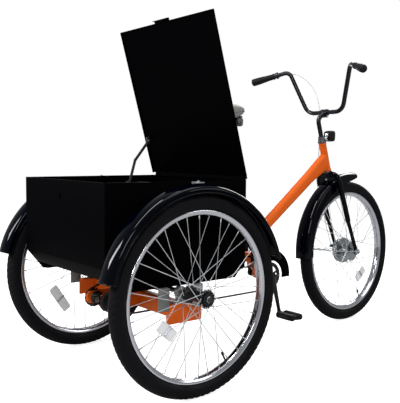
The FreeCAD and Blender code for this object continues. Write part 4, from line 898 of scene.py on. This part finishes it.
# %% [markdown]
# ## Headlamp
# A small black lamp stands on a strip that the headset locknut holds. From behind one sees its round back,
# the strip and the bolt. The glass in front is a shallow dome over a bright reflector bowl.

# %% Headlamp
LAMP = np.array([1058.0, 0.0, 884.0])
LAMP_DROP = math.radians(3)
LAMP_AHEAD, LAMP_UP = polar(1.0, -LAMP_DROP, 0.0), polar(1.0, math.pi / 2 - LAMP_DROP, 0.0)


def squared(profile, cut, fine, sides=80):
    """Each (depth, radius) becomes a ring 0.96 r (c, s) ahead of LAMP.

    c and s are the cosine and the sine of the angle, to the power 0.45 with their signs kept.
    """
    d, r = rounded(profile, cut, fine).T
    a = around(sides)[:, None]
    ring = 0.96 * (signed(np.cos(a), 0.45) * Y + signed(np.sin(a), 0.45) * LAMP_UP)
    return grid(LAMP + d[:, None, None] * LAMP_AHEAD + r[:, None, None] * ring)


glass = finish("lamp_glass", (225, 228, 230), 0.06, 0, 0.5, (0.05, 30, 0.02, 120, 0.4))
glass.node_tree.nodes["Principled BSDF"].inputs["Transmission Weight"].default_value = 0.85
shell = [(0, 0), (0, 15), (1.5, 19), (6, 23), (14, 25), (20, 26), (30.5, 26.4), (32, 26), (32, 24.6),
         (29, 24.4), (26, 0)]
bowl = [(26.3, 0), (26.3, 8), (27.2, 18), (29.2, 24)]
dome = [(28.8, 0), (28.8, 24.3), (30.0, 24.3), (31.2, 20), (31.8, 12), (32.0, 0)]
make("lamp_shell", squared(shell, 1.2, 4), pedal_black, "steering", replaces="headlamp")
make("lamp_bowl", squared(bowl, 0.5, 3), chrome, "steering", 60)
make("lamp_glass", squared(dome, 0.5, 3), glass, "steering", 60)
x, z = (HEAD_POINT + HEAD_UP * 90)[::2]
strip = [(x + 15, z - 1), (x + 15, z + 2), (1050, z + 3), (1056, 868), (1056, 896), (1059, 896),
         (1059, 862), (1051, z)]
make("lamp_strip", [plated(strip, -8.0, 8.0, 2), screw_head(LAMP - 2.5 * X, -X, 9, 4),
                    washer(LAMP - 0.8 * X, -X, 8)], zinc, "steering", 30)
print("lamp glass at", np.round(place(LAMP + LAMP_AHEAD * 32, True), 3))

# %% [markdown]
# ## Saddle
# A broad spring saddle with a grey vinyl cover over foam. Its top is a crowned surface: the width follows
# the length from a narrow nose to a wide tail, the height falls away at the sides, and the skirt tucks in
# underneath. A piped seam runs round where the top meets the skirt. It is a padded piece, worked out as one
# closed form because a bicycle saddle is moulded and keeps its shape.

# %% Saddle
NOSE_X, SADDLE_TOP, SADDLE_LONG, SADDLE_WIDE = 532.0, 999.0, 266.0, 212.0


def saddle_skin(rows=150, cols=96):
    """Point (s, t): s runs from nose to tail and t round the section, a superellipse cut off below.

    Half width w(s), drop and depth d(s) are smooth curves through a few measures. With c and k the signed
    powers |cos t|^0.75 and |sin t|^0.8, a point is w c to the side and d (1 - k') / 2 below the top, where
    k' is 0.38 + 0.62 k above the middle and 0.38 + 1.38 k under it. The lower half tucks in by up to a
    tenth, and a groove of 2.2 exp(-(c / 0.16)^2) runs along the middle of the top.
    """
    s = 0.5 - 0.5 * np.cos(np.linspace(0, math.pi, rows))
    marks = [0.0, 0.03, 0.08, 0.16, 0.30, 0.45, 0.60, 0.75, 0.88, 0.95, 0.985, 1.0]
    soften = np.ones(13) / 13
    wide, drop, deep = (
        np.convolve(np.pad(np.interp(s, marks, measures), 6, mode="edge"), soften, "valid")[:, None]
        for measures in ([0.03, 0.15, 0.215, 0.27, 0.35, 0.5, 0.745, 0.94, 0.985, 0.88, 0.68, 0.45],
                         [26, 14, 7, 2.5, 0.5, 0.4, 0.6, 2, 5.5, 10, 16, 24],
                         [8, 24, 40, 54, 65, 69, 71, 70, 66, 58, 44, 22]))
    s, t = s[:, None], around(cols)
    c, k = signed(np.cos(t), 0.75), signed(np.sin(t), 0.8)
    groove = 2.2 * bell(c, 0, 0.16) * np.clip(k, 0, 1) * np.clip((s - 0.25) * 4, 0, 1)
    y = SADDLE_WIDE / 2 * wide * c * (1 - 0.10 * np.clip(-k, 0, 1))
    level = 0.38 + np.where(k > 0, 0.62, 1.38) * k
    z = SADDLE_TOP - drop + 0.5 * deep * (level - 1) - groove
    return np.stack([NOSE_X - SADDLE_LONG * s + 0 * t, y, z], -1)


saddle_vinyl = finish("saddle_vinyl", (122, 122, 118), 0.42, 0, 0.3,
                      (0.18, 14, 0.15, 650, 0.55), 0.1)
piping = finish("saddle_piping", (96, 97, 98), 0.4, 0, 0.4, (0.2, 30, 0.1, 900, 0.3))
saddle = saddle_skin()
saddle_pad = make("saddle_pad", capped(saddle), saddle_vinyl, sharp=60, replaces="saddle")
LEFT_SEAM, RIGHT_SEAM = 92, 52
seam = np.concatenate([saddle[3:-3, LEFT_SEAM], saddle[-4:2:-1, RIGHT_SEAM]])
share, even = np.linspace(0, 1, len(seam)), np.linspace(0, 1, 160)
seam = np.stack([np.interp(even, share, line) for line in seam.T], 1)
make("saddle_piping", weld_bead(seam, 1.5), piping, sharp=60)
print("saddle", np.round(np.ptp(saddle.reshape(-1, 3), axis=0)), "mm")

# %% [markdown]
# ### Seat post, springs and rails
# A bright post slides in the seat tube, and a collar with a bolt clamps it. Two coil springs at the tail
# and a pair of bent rails carry the saddle on the post. A coil is a tube whose path is a helix.

# %% Seat post and clamp
post_low, post_top = on_seat_line(650.0), on_seat_line(926.0)
length = float(np.linalg.norm(post_top - post_low))
post = [(0, 0), (0, 12.7), (length - 6, 12.7), (length, 11), (length, 0)]
make("seat_post_skin", turned(post, post_low, SEAT_DIR, 40, 1), chrome, replaces="seat_post")
collar_at = SEAT_TOP - SEAT_DIR * 16
lug = collar_at + SEAT_DIR * 6.5 - 22 * X - 4 * Z
make("seat_clamp", [turned(sleeve(0, 13, 21, 17), collar_at, SEAT_DIR, 40, 1),
                    screw_head(lug - 12 * Y, -Y, 10, 6), spin(sleeve(0, 30, 3), lug - 15 * Y, Y, 16)],
     zinc, sharp=35)
print("seat post", round(length), "mm")


# %% Springs and rails
def coil(base, tall, radius=13.0, turns=4.5, wire=2.2):
    """A helix (R cos a, R sin a, h a / (2 pi n)) swept with a round wire, its first and last turns flat."""
    a = np.linspace(0, TAU * turns, 150)
    rise = np.clip((a - 1.5) / (a[-1] - 3.0), 0, 1)
    path = np.stack([radius * np.cos(a), radius * np.sin(a), tall * rise], 1) + base
    return tube(path, wire, 10, guide=Z)


x = post_top[0]
nose = NOSE_X * X[:2]
springs = []
rails = [ringed(sleeve(-18, 18, 14, 5), x * X + 910 * Z, 48, 1.5)]
for side in (1, -1):
    at = (x - 84.0) * X + side * 42.0 * Y
    springs.append(coil(at + 917.0 * Z, 26.0))
    springs += [turned(sleeve(0, 2, 16), at + z * Z, Z, 32, 0.6) for z in (914.0, 944.0)]
    rail = [(x - 84, 40, 916), (x - 60, 30, 915), (x - 30, 14, 918), (x + 60, 13, 919),
            (NOSE_X - 62, 12, 930), (NOSE_X - 40, 10, 944)]
    path = bend(np.array(rail) * [1, side, 1], [30, 40, 60, 40], 8)
    rails.append(tube(path, 3.6, 14, guide=(0, 0.2, 1)))
    rails.append(screw_head([x, side * 18, 910], side * Y, 14, 7))
rails.append(plated(nose + [(-66, 934), (-20, 948), (-20, 952), (-66, 938)], -17.0, 17.0, 1.5))
hanger = [(484, 944), (506, 952), (518, 936), (516, 914), (506, 908), (494, 914), (490, 930)]
bracket = [plated(hanger, low, high, 4, 4) for low, high in ((-15, -11), (11, 15), (-8, 8))]
make("saddle_springs", springs, zinc)
make("saddle_nose_bracket", bracket + [screw_head([503, -15, 920], -Y, 10, 5)], stay_steel, sharp=35)
make("saddle_rails", rails, box_black, replaces="saddle_frame")
print("saddle stands on", len(springs) // 3, "springs")

# %% [markdown]
# ## Chain drive
# A roller chain is the same two links over and over, so one link is drawn once and set along the loop by
# array arithmetic. The loop is laid round the chainring, the drive hub and the sag of the lower run.

# %% Chains
PITCH = 12.7


def chain_loop(circles, count):
    """Points at equal steps along a belt laid clockwise round circles (x, z, r), and its length.

    The belt leaves a circle at the angle of the line to the next one plus acos((r0 - r1) / distance).
    """
    leave = [math.atan2(z1 - z0, x1 - x0) + math.acos((r0 - r1) / math.hypot(x1 - x0, z1 - z0))
             for (x0, z0, r0), (x1, z1, r1) in zip(circles, circles[1:] + circles[:1])]
    line = []
    for number, (x, z, r) in enumerate(circles):
        first = leave[number - 1]
        a = np.linspace(first, first - (first - leave[number]) % TAU, 80)
        line.append(np.stack([x + r * np.cos(a), z + r * np.sin(a)], 1))
    line = np.concatenate(line + [line[0][:1]])
    run = np.concatenate([[0], np.cumsum(np.linalg.norm(np.diff(line, axis=0), axis=1))])
    at = np.linspace(0, run[-1], count, endpoint=False)
    return np.stack([np.interp(at, run, column) for column in line.T], 1), run[-1]


def link_plate(low, high):
    """A plate with round ends of radius 3.9 about its two pins, and a waist of 0.72 of that."""
    a = around(14)
    c, s = 3.9 * np.cos(a), 3.9 * np.sin(a)
    end = np.abs(np.cos(a)) > 0.3
    return slab(np.stack([np.sign(c) * PITCH / 2 * end + c, s * np.where(end, 1.0, 0.72)], 1), low, high)


def roller_chain(circles, y):
    """Every pair of pins gets two plates, outer and inner by turns, and each pin gets a roller.

    A plate's point (u, v) goes to middle + u d + v n, with d along the pair of pins and n square to it.
    """
    count = 2 * round(chain_loop(circles, 4)[1] / (2 * PITCH))
    pins, length = chain_loop(circles, count)
    step = np.roll(pins, -1, 0) - pins
    shapes = []
    for kind, gap in enumerate((3.3, 2.3)):
        points, faces = join([link_plate(gap, gap + 1.0), link_plate(-gap - 1.0, -gap)])
        m, d = (pins + step / 2)[kind::2], unit(step)[kind::2]
        x = m[:, :1] + points[:, 0] * d[:, :1] - points[:, 2] * d[:, 1:]
        z = m[:, 1:] + points[:, 0] * d[:, 1:] + points[:, 2] * d[:, :1]
        placed = np.stack([x, points[:, 1] + y + 0 * x, z], -1)
        shapes.append((placed.reshape(-1, 3), repeat(faces, len(points), len(m))))
    for reach, radius, sides in ((4.6, 1.8, 6), (2.2, 3.6, 8)):
        starts = np.stack([pins[:, 0], np.full(count, y - reach), pins[:, 1]], 1)
        shapes.append(bars(starts, starts + 2 * reach * Y, radius, sides))
    return join(shapes), length


def pitch_circle(centre, teeth):
    """The circle (x, z, r) of a chain wheel, r = 12.7 / (2 sin (pi / n))."""
    return centre[0], centre[2], PITCH / (2 * math.sin(math.pi / teeth))


RING_Y, AXLE_CHAIN_Y, RING_TEETH, HUB_TEETH = -52.0, 52.0, 28, 16
HUB, AXLE = np.array([-141.0, 0.0, 275.0]), WHEEL_R * Z
hub_circle, sag_circle = pitch_circle(HUB, HUB_TEETH), (-20.0, 219.5 + 250.0, 250.0)
for name, y, circles in (("chain", RING_Y, [hub_circle, pitch_circle(BRACKET, RING_TEETH), sag_circle]),
                         ("axle_chain", AXLE_CHAIN_Y, [hub_circle, pitch_circle(AXLE, HUB_TEETH)])):
    shape, length = roller_chain(circles, y)
    make(name + "_links", shape, chain_steel, sharp=35, replaces=name)
    print(name, round(length), "mm")


# %% [markdown]
# ### Chain wheels, cranks and pedals
# A chain wheel's outline is a circle that rises and falls once for each tooth. The cranks are forged arms
# that taper from the spindle to the pedal eye, and the pedals are two ribbed rubber blocks between plates.

# %% Chain wheels
def chain_wheel(centre, y, teeth, bore):
    """Rings at the bore, at a shoulder and at the toothed edge on both faces, joined into a closed disc.

    With c = cos (n a), the edge is at the pitch radius, plus 2.2 c^0.8 or, below zero, less 3.8 |c|^0.8.
    """
    a = around(teeth * 14)
    c = signed(np.cos(teeth * a), 0.8)
    r = pitch_circle(centre, teeth)[2] + np.where(c > 0, 2.2, 3.8) * c
    radii = np.stack([0 * r + bore, r - 2.5, r, r, r - 2.5, 0 * r + bore])
    level = np.array([-1.0, -1.0, -0.45, 0.45, 1.0, 1.0])[:, None]
    return grid(polar(radii, a, level) + centre + y * Y, wrap_rows=True)


pieces = [chain_wheel(BRACKET, RING_Y, RING_TEETH, 44.0), on_shaft(BRACKET, sleeve(-67.6, -36, 15, 8.6))]
for angle in np.radians(20 + 72 * np.arange(5)):
    ahead, side = np.array([[math.cos(angle), math.sin(angle)], [-math.sin(angle), math.cos(angle)]])
    arm = [BRACKET[::2] + ahead * d + side * w
           for d, w in ((10, 7), (28, 4), (46, 6), (46, -6), (28, -4), (10, -7))]
    pieces.append(plated(arm, RING_Y - 1.0, RING_Y + 1.0, 2.5, 4))
    pieces.append(screw_head(BRACKET + polar(46.5, angle, RING_Y - 1.0), -Y, 7, 2.6))
make("chainring_skin", pieces, chain_steel, "crank", 35, "chainring")
driver = [chain_wheel(HUB, RING_Y, HUB_TEETH, 9.0), on_shaft(HUB, sleeve(-58, -46, 18, 8.1))]
make("hub_driver_skin", driver, hub_black, "hub_driver", 35, "hub_driver")
shell = [(-33, 8), (-33, 22), (-31, 25), (-27, 25), (-24, 19), (24, 19), (27, 25), (31, 25), (33, 22),
         (33, 8)]
cap = [(-66, 0), (-66, 11.5), (-60.2, 12), (-60.2, 0)]
boss = sleeve(46, 58, 18, 8)
pieces = [on_shaft(HUB, profile) for profile in (sleeve(-66, 62, 8), shell, cap, boss)]
pieces += [chain_wheel(HUB, AXLE_CHAIN_Y, HUB_TEETH, 8.0), screw_head(HUB - 62 * Y, -Y, 16, 4)]
make("drive_hub_skin", pieces, hub_black, "drive_hub", 35, "drive_hub")
shaft = [(-443, 0), (-443, 7.5), (-441, 8.5), (441, 8.5), (443, 7.5), (443, 0)]
pieces = [on_shaft(AXLE, shaft), on_shaft(AXLE, boss), chain_wheel(AXLE, AXLE_CHAIN_Y, HUB_TEETH, 8.0)]
make("rear_axle_skin", pieces, chain_steel, "right_rear_wheel", 35, "rear_axle")
nuts = []
for side in (1, -1):
    nuts.append(washer(AXLE + side * 430.3 * Y, side * Y, 14, 1.6))
    nuts.append(screw_head(AXLE + side * 431.9 * Y, side * Y, 18.5, 7.5))
make("rear_axle_nuts", nuts, zinc, "right_rear_wheel", 30)
print("chain wheels", RING_TEETH, HUB_TEETH, HUB_TEETH)

# %% Cranks
CRANK_LONG, CRANK_ANGLE, ARM_THICK = 168.0, math.radians(-75), 13.0
CRANK = polar(CRANK_LONG, CRANK_ANGLE, 0.0)
PEDALS = (("right", -1, -68.0, BRACKET + CRANK), ("left", 1, 55.0, BRACKET - CRANK))
pieces = [on_shaft(BRACKET, sleeve(-80, 67, 8.3))]
for _, side, face, eye in PEDALS:
    outer = face + side * ARM_THICK
    share = np.linspace(0.03, 0.97, 20)[:, None]
    path = BRACKET + (eye - BRACKET) * share + (face + outer) / 2 * Y
    pieces.append(tube(path, taper(path, [0, 0.12, 0.85, 1], [14.0, 12.5, 9.2, 10.0]), 28, Y, 0.6))
    pieces += [on_shaft(at, sleeve(face, outer, r), 44, 1.8, 4) for at, r in ((BRACKET, 16.0), (eye, 12.0))]
    pieces.append(screw_head(BRACKET + outer * Y, side * Y, 14, 3))
    pieces.append(turned(sleeve(0, 104, 5), eye + (face + side * 3.0) * Y, side * Y, 20, 0.6))
make("crank_skin", pieces, bar_black, "crank", replaces="crank_arms")
print("crank", round(CRANK_LONG), "mm")


# %% Pedals
def ribbed_block(x, z, y0, y1, rows=90, cols=40):
    """A superellipse section (20 by 25.2 mm) carried sideways: (10 e c, 12.6 e q s) at y.

    c and s are the cosine and the sine to the power 0.4 with their signs kept, q dips by 0.075 every 8 mm
    for the ribs, and e falls to 0.88 within 2.5 mm of an end.
    """
    y = np.linspace(y0, y1, rows)[:, None]
    t = around(cols)
    ripple = 1 - 0.075 * (0.5 + 0.5 * np.cos((y - y0) / 8.0 * TAU)) ** 2
    close = np.minimum(np.minimum(y - y0, y1 - y) / 2.5, 1) ** 0.5 * 0.12 + 0.88
    u, v = signed(np.cos(t), 0.4) * 10 * close, signed(np.sin(t), 0.4) * 12.6 * close * ripple
    return capped(np.stack([x + u, y + 0 * t, z + v], -1))


smoked = finish("pedal_reflector", (26, 18, 14), 0.3, 0, 0.2, (0.2, 120, 0.1, 300, 0.4),
                coat=(0.1, 0.05))
for name, side, face, eye in PEDALS:
    x, z = eye[::2]
    y0, y1 = sorted((face + side * 16.0, face + side * 111.0))
    middle = (y0 + y1) / 2
    barrel = [(y0, 5.2), (y0, 10), (y0 + 18, 10), (y0 + 30, 8), (y1 - 18, 8), (y1 - 8, 10), (y1, 10),
              (y1, 5.2)]
    blocks = [ribbed_block(x + shift, z, y0 + 3, y1 - 3) for shift in (-22, 22)]
    blocks.append(on_shaft(eye, barrel, 36, 1.2))
    blocks += [plated(rect(x - 31, z - 8, x + 31, z + 8), at, at + 4.0, 4, 5) for at in (y0, y1 - 4.0)]
    make("pedal_blocks_" + name, blocks, pedal_black, "pedal_" + name, replaces="pedal_" + name)
    lights = [plated(rect(middle - 24, z - 6, middle + 24, z + 6), x + end * 31.0, x + end * 32.6, 2, 4, 0)
              for end in (-1, 1)]
    make("pedal_reflectors_" + name, lights, smoked, "pedal_" + name, 30)
print("pedals", round(y1 - y0), "mm wide")

# %% [markdown]
# ## Sheet metal and welded steel
# Folded panels and plates already have the right shape in the model, but their corners are knife edges. A
# copy of each is cleaned up: loose triangles are merged, flat faces are made whole, and every sharp edge
# gets a narrow round, which is what catches light along a real fold.


# %% Rounded copies of the flat parts
def refined(node, material, body="frame", width=0.7):
    """A copy of a node's mesh, merged, each edge sharper than 40 degrees rounded over the width in mm."""
    work = bmesh.new()
    work.from_mesh(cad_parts[node].data)
    bmesh.ops.remove_doubles(work, verts=work.verts, dist=1e-5)
    bmesh.ops.dissolve_limit(work, angle_limit=math.radians(1.0), verts=work.verts, edges=work.edges)
    bmesh.ops.recalc_face_normals(work, faces=work.faces)
    sharp = [e for e in work.edges if len(e.link_faces) == 2 and e.calc_face_angle(0.0) > math.radians(40)]
    bmesh.ops.bevel(work, geom=sharp, offset=width / 1000.0, offset_type="OFFSET", segments=2, profile=0.5,
                    affect="EDGES", clamp_overlap=True)
    mesh = bpy.data.meshes.new(node + "_rounded")
    work.to_mesh(mesh)
    work.free()
    return settle(node + "_rounded", mesh, material, body, 34, node)


for node in ("box_left_panel", "box_right_panel", "box_front_panel", "box_floor"):
    refined(node, box_black)
rear_line = rounded([(-282, 703.4), (-282, 705), (-294, 705), (-294, 436), (-252, 385), (-250.6, 386.2),
                     (-292.4, 436.6), (-292.4, 703.4)], 1.2, 3, closed=True)
rear_sheet = grid(np.stack([np.insert(rear_line, 1, y, axis=1) for y in (-287.4, 287.4)]))
make("box_rear_skin", rear_sheet, box_black, sharp=35, replaces="box_rear_panel")
lock = [(0, 0), (0, 11), (2, 11), (3, 9), (3, 6), (4.2, 6), (4.2, 0)]
make("box_lock", turned(lock, [-294.0, 17.0, 652.0], -X, 40, 0.5, 3), box_black)
refined("lid_panel", box_black, "lid")
refined("lid_handle", box_black, "lid", 0.8)
refined("chain_guard", box_black, "frame", 0.5)
refined("lid_hinge_fixed", box_black, "frame", 0.5)
refined("lid_hinge_moving", box_black, "lid", 0.5)
print("box", round(float(np.ptp(rear_line[:, 1]))), "mm deep at the rear")

# %% [markdown]
# ### Hinge strip
# A long hinge joins the lid to the front panel: a rolled barrel with a fine gap every 25 mm, one leaf on
# the panel and one on the lid. The lid's leaf is drawn as if the lid were closed, then turned with it.

# %% Hinge strip
HINGE = np.array([293.0, 0.0, 711.0])
HINGE_END = 284.0
lid_open = math.radians(74.1)
along = np.linspace(-HINGE_END, HINGE_END, 1137)
knuckle = 4.6 - 0.9 * bell((along + 12.5) % 25.0, 12.5, 0.5)
barrel = spin(np.stack([np.pad(along, 1, mode="edge"), np.pad(knuckle, 1)], 1), HINGE, Y, 20)
leaf = [(288.3, 684), (290.0, 684), (290.0, 709), (291.6, 713.5), (289.0, 713.5), (288.3, 708)]
make("hinge_strip", [barrel, plated(leaf, -HINGE_END, HINGE_END, 0.6)], box_black)
c, s = math.cos(lid_open), math.sin(lid_open)
leaf = HINGE[::2] + np.array(rect(-29.0, -3.4, -5.6, -1.6)) @ [[c, -s], [s, c]]
make("hinge_leaf", plated(leaf, -HINGE_END, HINGE_END, 0.5), box_black, "lid")
print("hinge strip", round(2 * HINGE_END), "mm long")

# %% [markdown]
# ### Stays, beams and brackets
# The lid's stay is two flat links, dull from wear. The axle hangs in galvanised blocks under an orange
# cross beam, whose tube has wide rounds that a bevel can't give, so it is drawn as a rounded slab.

# %% Stays, beams and brackets
for node, material, body, width in (
        ("stay_lower", stay_steel, "stay_lower", 0.5), ("stay_upper", stay_steel, "stay_upper", 0.5),
        ("stay_foot", stay_steel, "frame", 0.5), ("stay_bracket", zinc, "lid", 0.5),
        ("axle_carriers", orange, "frame", 1.2), ("backbone", orange, "frame", 2.0),
        ("bearing_blocks", galvanised, "frame", 1.5), ("box_brackets", galvanised, "frame", 0.8)):
    refined(node, material, body, width)
cheek = [(-176, 266), (-166, 256), (-40, 244), (1, 240), (1, 291), (-60, 300), (-166, 300), (-176, 290)]
beams = [plated(rect(0, 232, 40, 292), -296.0, 296.0, 7, 5)]
beams += [plated(cheek, side * 39.0, side * 44.0, 5, 4) for side in (-1, 1)]
make("cross_beam_skin", beams, orange, replaces="cross_beam")
sides = [rect(-198, z, -172, z + 5) for z in (270, 296)] + [rect(x, 271, x + 5, 300) for x in (-198, -177)]
adjuster = [plated(outline, -47.0, -41.0, 1.5) for outline in sides]
make("chain_adjuster", adjuster + [screw_head([-198, -44, 285.5], -X, 8, 6)], hub_black, sharp=30)
print("nodes with no piece yet:", [n for n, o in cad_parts.items() if not o.hide_render])

# %% [markdown]
# ## Studio
# The tricycle stands on a white floor in front of white. Large soft lamps light it at a plain level, and
# the world and the floor look white to the camera, while the floor still takes a shadow.


# %% Lamps
def soft_lamp(name, at, size, power, aim=(0.0, 0.0, 0.5), along=None):
    """A rectangular area lamp that faces a point, its long side as near as can be to a given direction."""
    data = bpy.data.lights.new(name, "AREA")
    data.shape = "RECTANGLE"
    data.size, data.size_y = size
    data.energy = power
    lamp = add(name, data)
    lamp.location = at
    facing = (Vector(aim) - Vector(at)).normalized()
    if along is None:
        lamp.rotation_euler = facing.to_track_quat("-Z", "Y").to_euler()
    else:
        wide = Vector(along).cross(-facing).normalized()
        lamp.rotation_euler = Matrix([wide, (-facing).cross(wide), -facing]).transposed().to_euler()
    lamp.visible_camera = False


soft_lamp("key_lamp", (-3.0, -3.0, 2.9), (1.0, 1.6), 95)
soft_lamp("top_lamp", (0.4, -0.4, 4.2), (2.6, 1.8), 60)
soft_lamp("side_lamp", (2.4, -3.6, 2.2), (1.4, 1.6), 45)
soft_lamp("rear_strip", (-2.78, 1.1, 1.83), (0.42, 1.35), 90, (-0.92, -0.4, 0.5), (0.05, -0.79, 0.96))
soft_lamp("roof_strip", (-1.45, -0.24, 3.2), (0.22, 1.9), 60, (-0.75, -0.39, 0.66), (1.6, 0.86, 0.4))
soft_lamp("front_strip", (2.55, 1.2, 2.2), (0.5, 1.3), 24, (0.5, 0.0, 0.7), (0.0, 0.1, 1.0))
soft_lamp("far_lamp", (2.0, 2.3, 0.85), (0.6, 1.9), 22, (0.0, -0.2, 0.7), (-0.77, 0.64, 0.0))
print(len(bpy.data.lights), "lamps")


# %% World and floor
def white_to_the_eye(tree, strength, lit, seen):
    """Drive a strength: one number for light on surfaces, another for what the camera sees."""
    path = tree.nodes.new("ShaderNodeLightPath")
    level = tree.nodes.new("ShaderNodeMapRange")
    level.inputs["To Min"].default_value = lit
    level.inputs["To Max"].default_value = seen
    tree.links.new(path.outputs["Is Camera Ray"], level.inputs["Value"])
    tree.links.new(level.outputs[0], strength)


WHITE = (1.0, 1.0, 1.0, 1.0)
world = bpy.data.worlds.new("white_room")
bpy.context.scene.world = world
world.use_nodes = True
background = world.node_tree.nodes["Background"]
background.inputs["Color"].default_value = WHITE
white_to_the_eye(world.node_tree, background.inputs["Strength"], lit=0.45, seen=1.0)

white_floor = bpy.data.materials.new("white_floor")
white_floor.use_nodes = True
shader = white_floor.node_tree.nodes["Principled BSDF"]
for label, value in (("Base Color", (0.5, 0.5, 0.5, 1.0)), ("Roughness", 0.9), ("Specular IOR Level", 0.0),
                     ("Emission Color", WHITE)):
    shader.inputs[label].default_value = value
white_to_the_eye(white_floor.node_tree, shader.inputs["Emission Strength"], lit=0.0, seen=0.78)
floor_mesh = bpy.data.meshes.new("studio_floor")
floor_mesh.from_pydata([(-30, -30, 0), (30, -30, 0), (30, 30, 0), (-30, 30, 0)], [], [(0, 1, 2, 3)])
floor_mesh.materials.append(white_floor)
add("studio_floor", floor_mesh)
bpy.context.scene.view_settings.view_transform = "Standard"
print("floor and world are white to the camera")

# %% The end
bpy.context.view_layer.update()
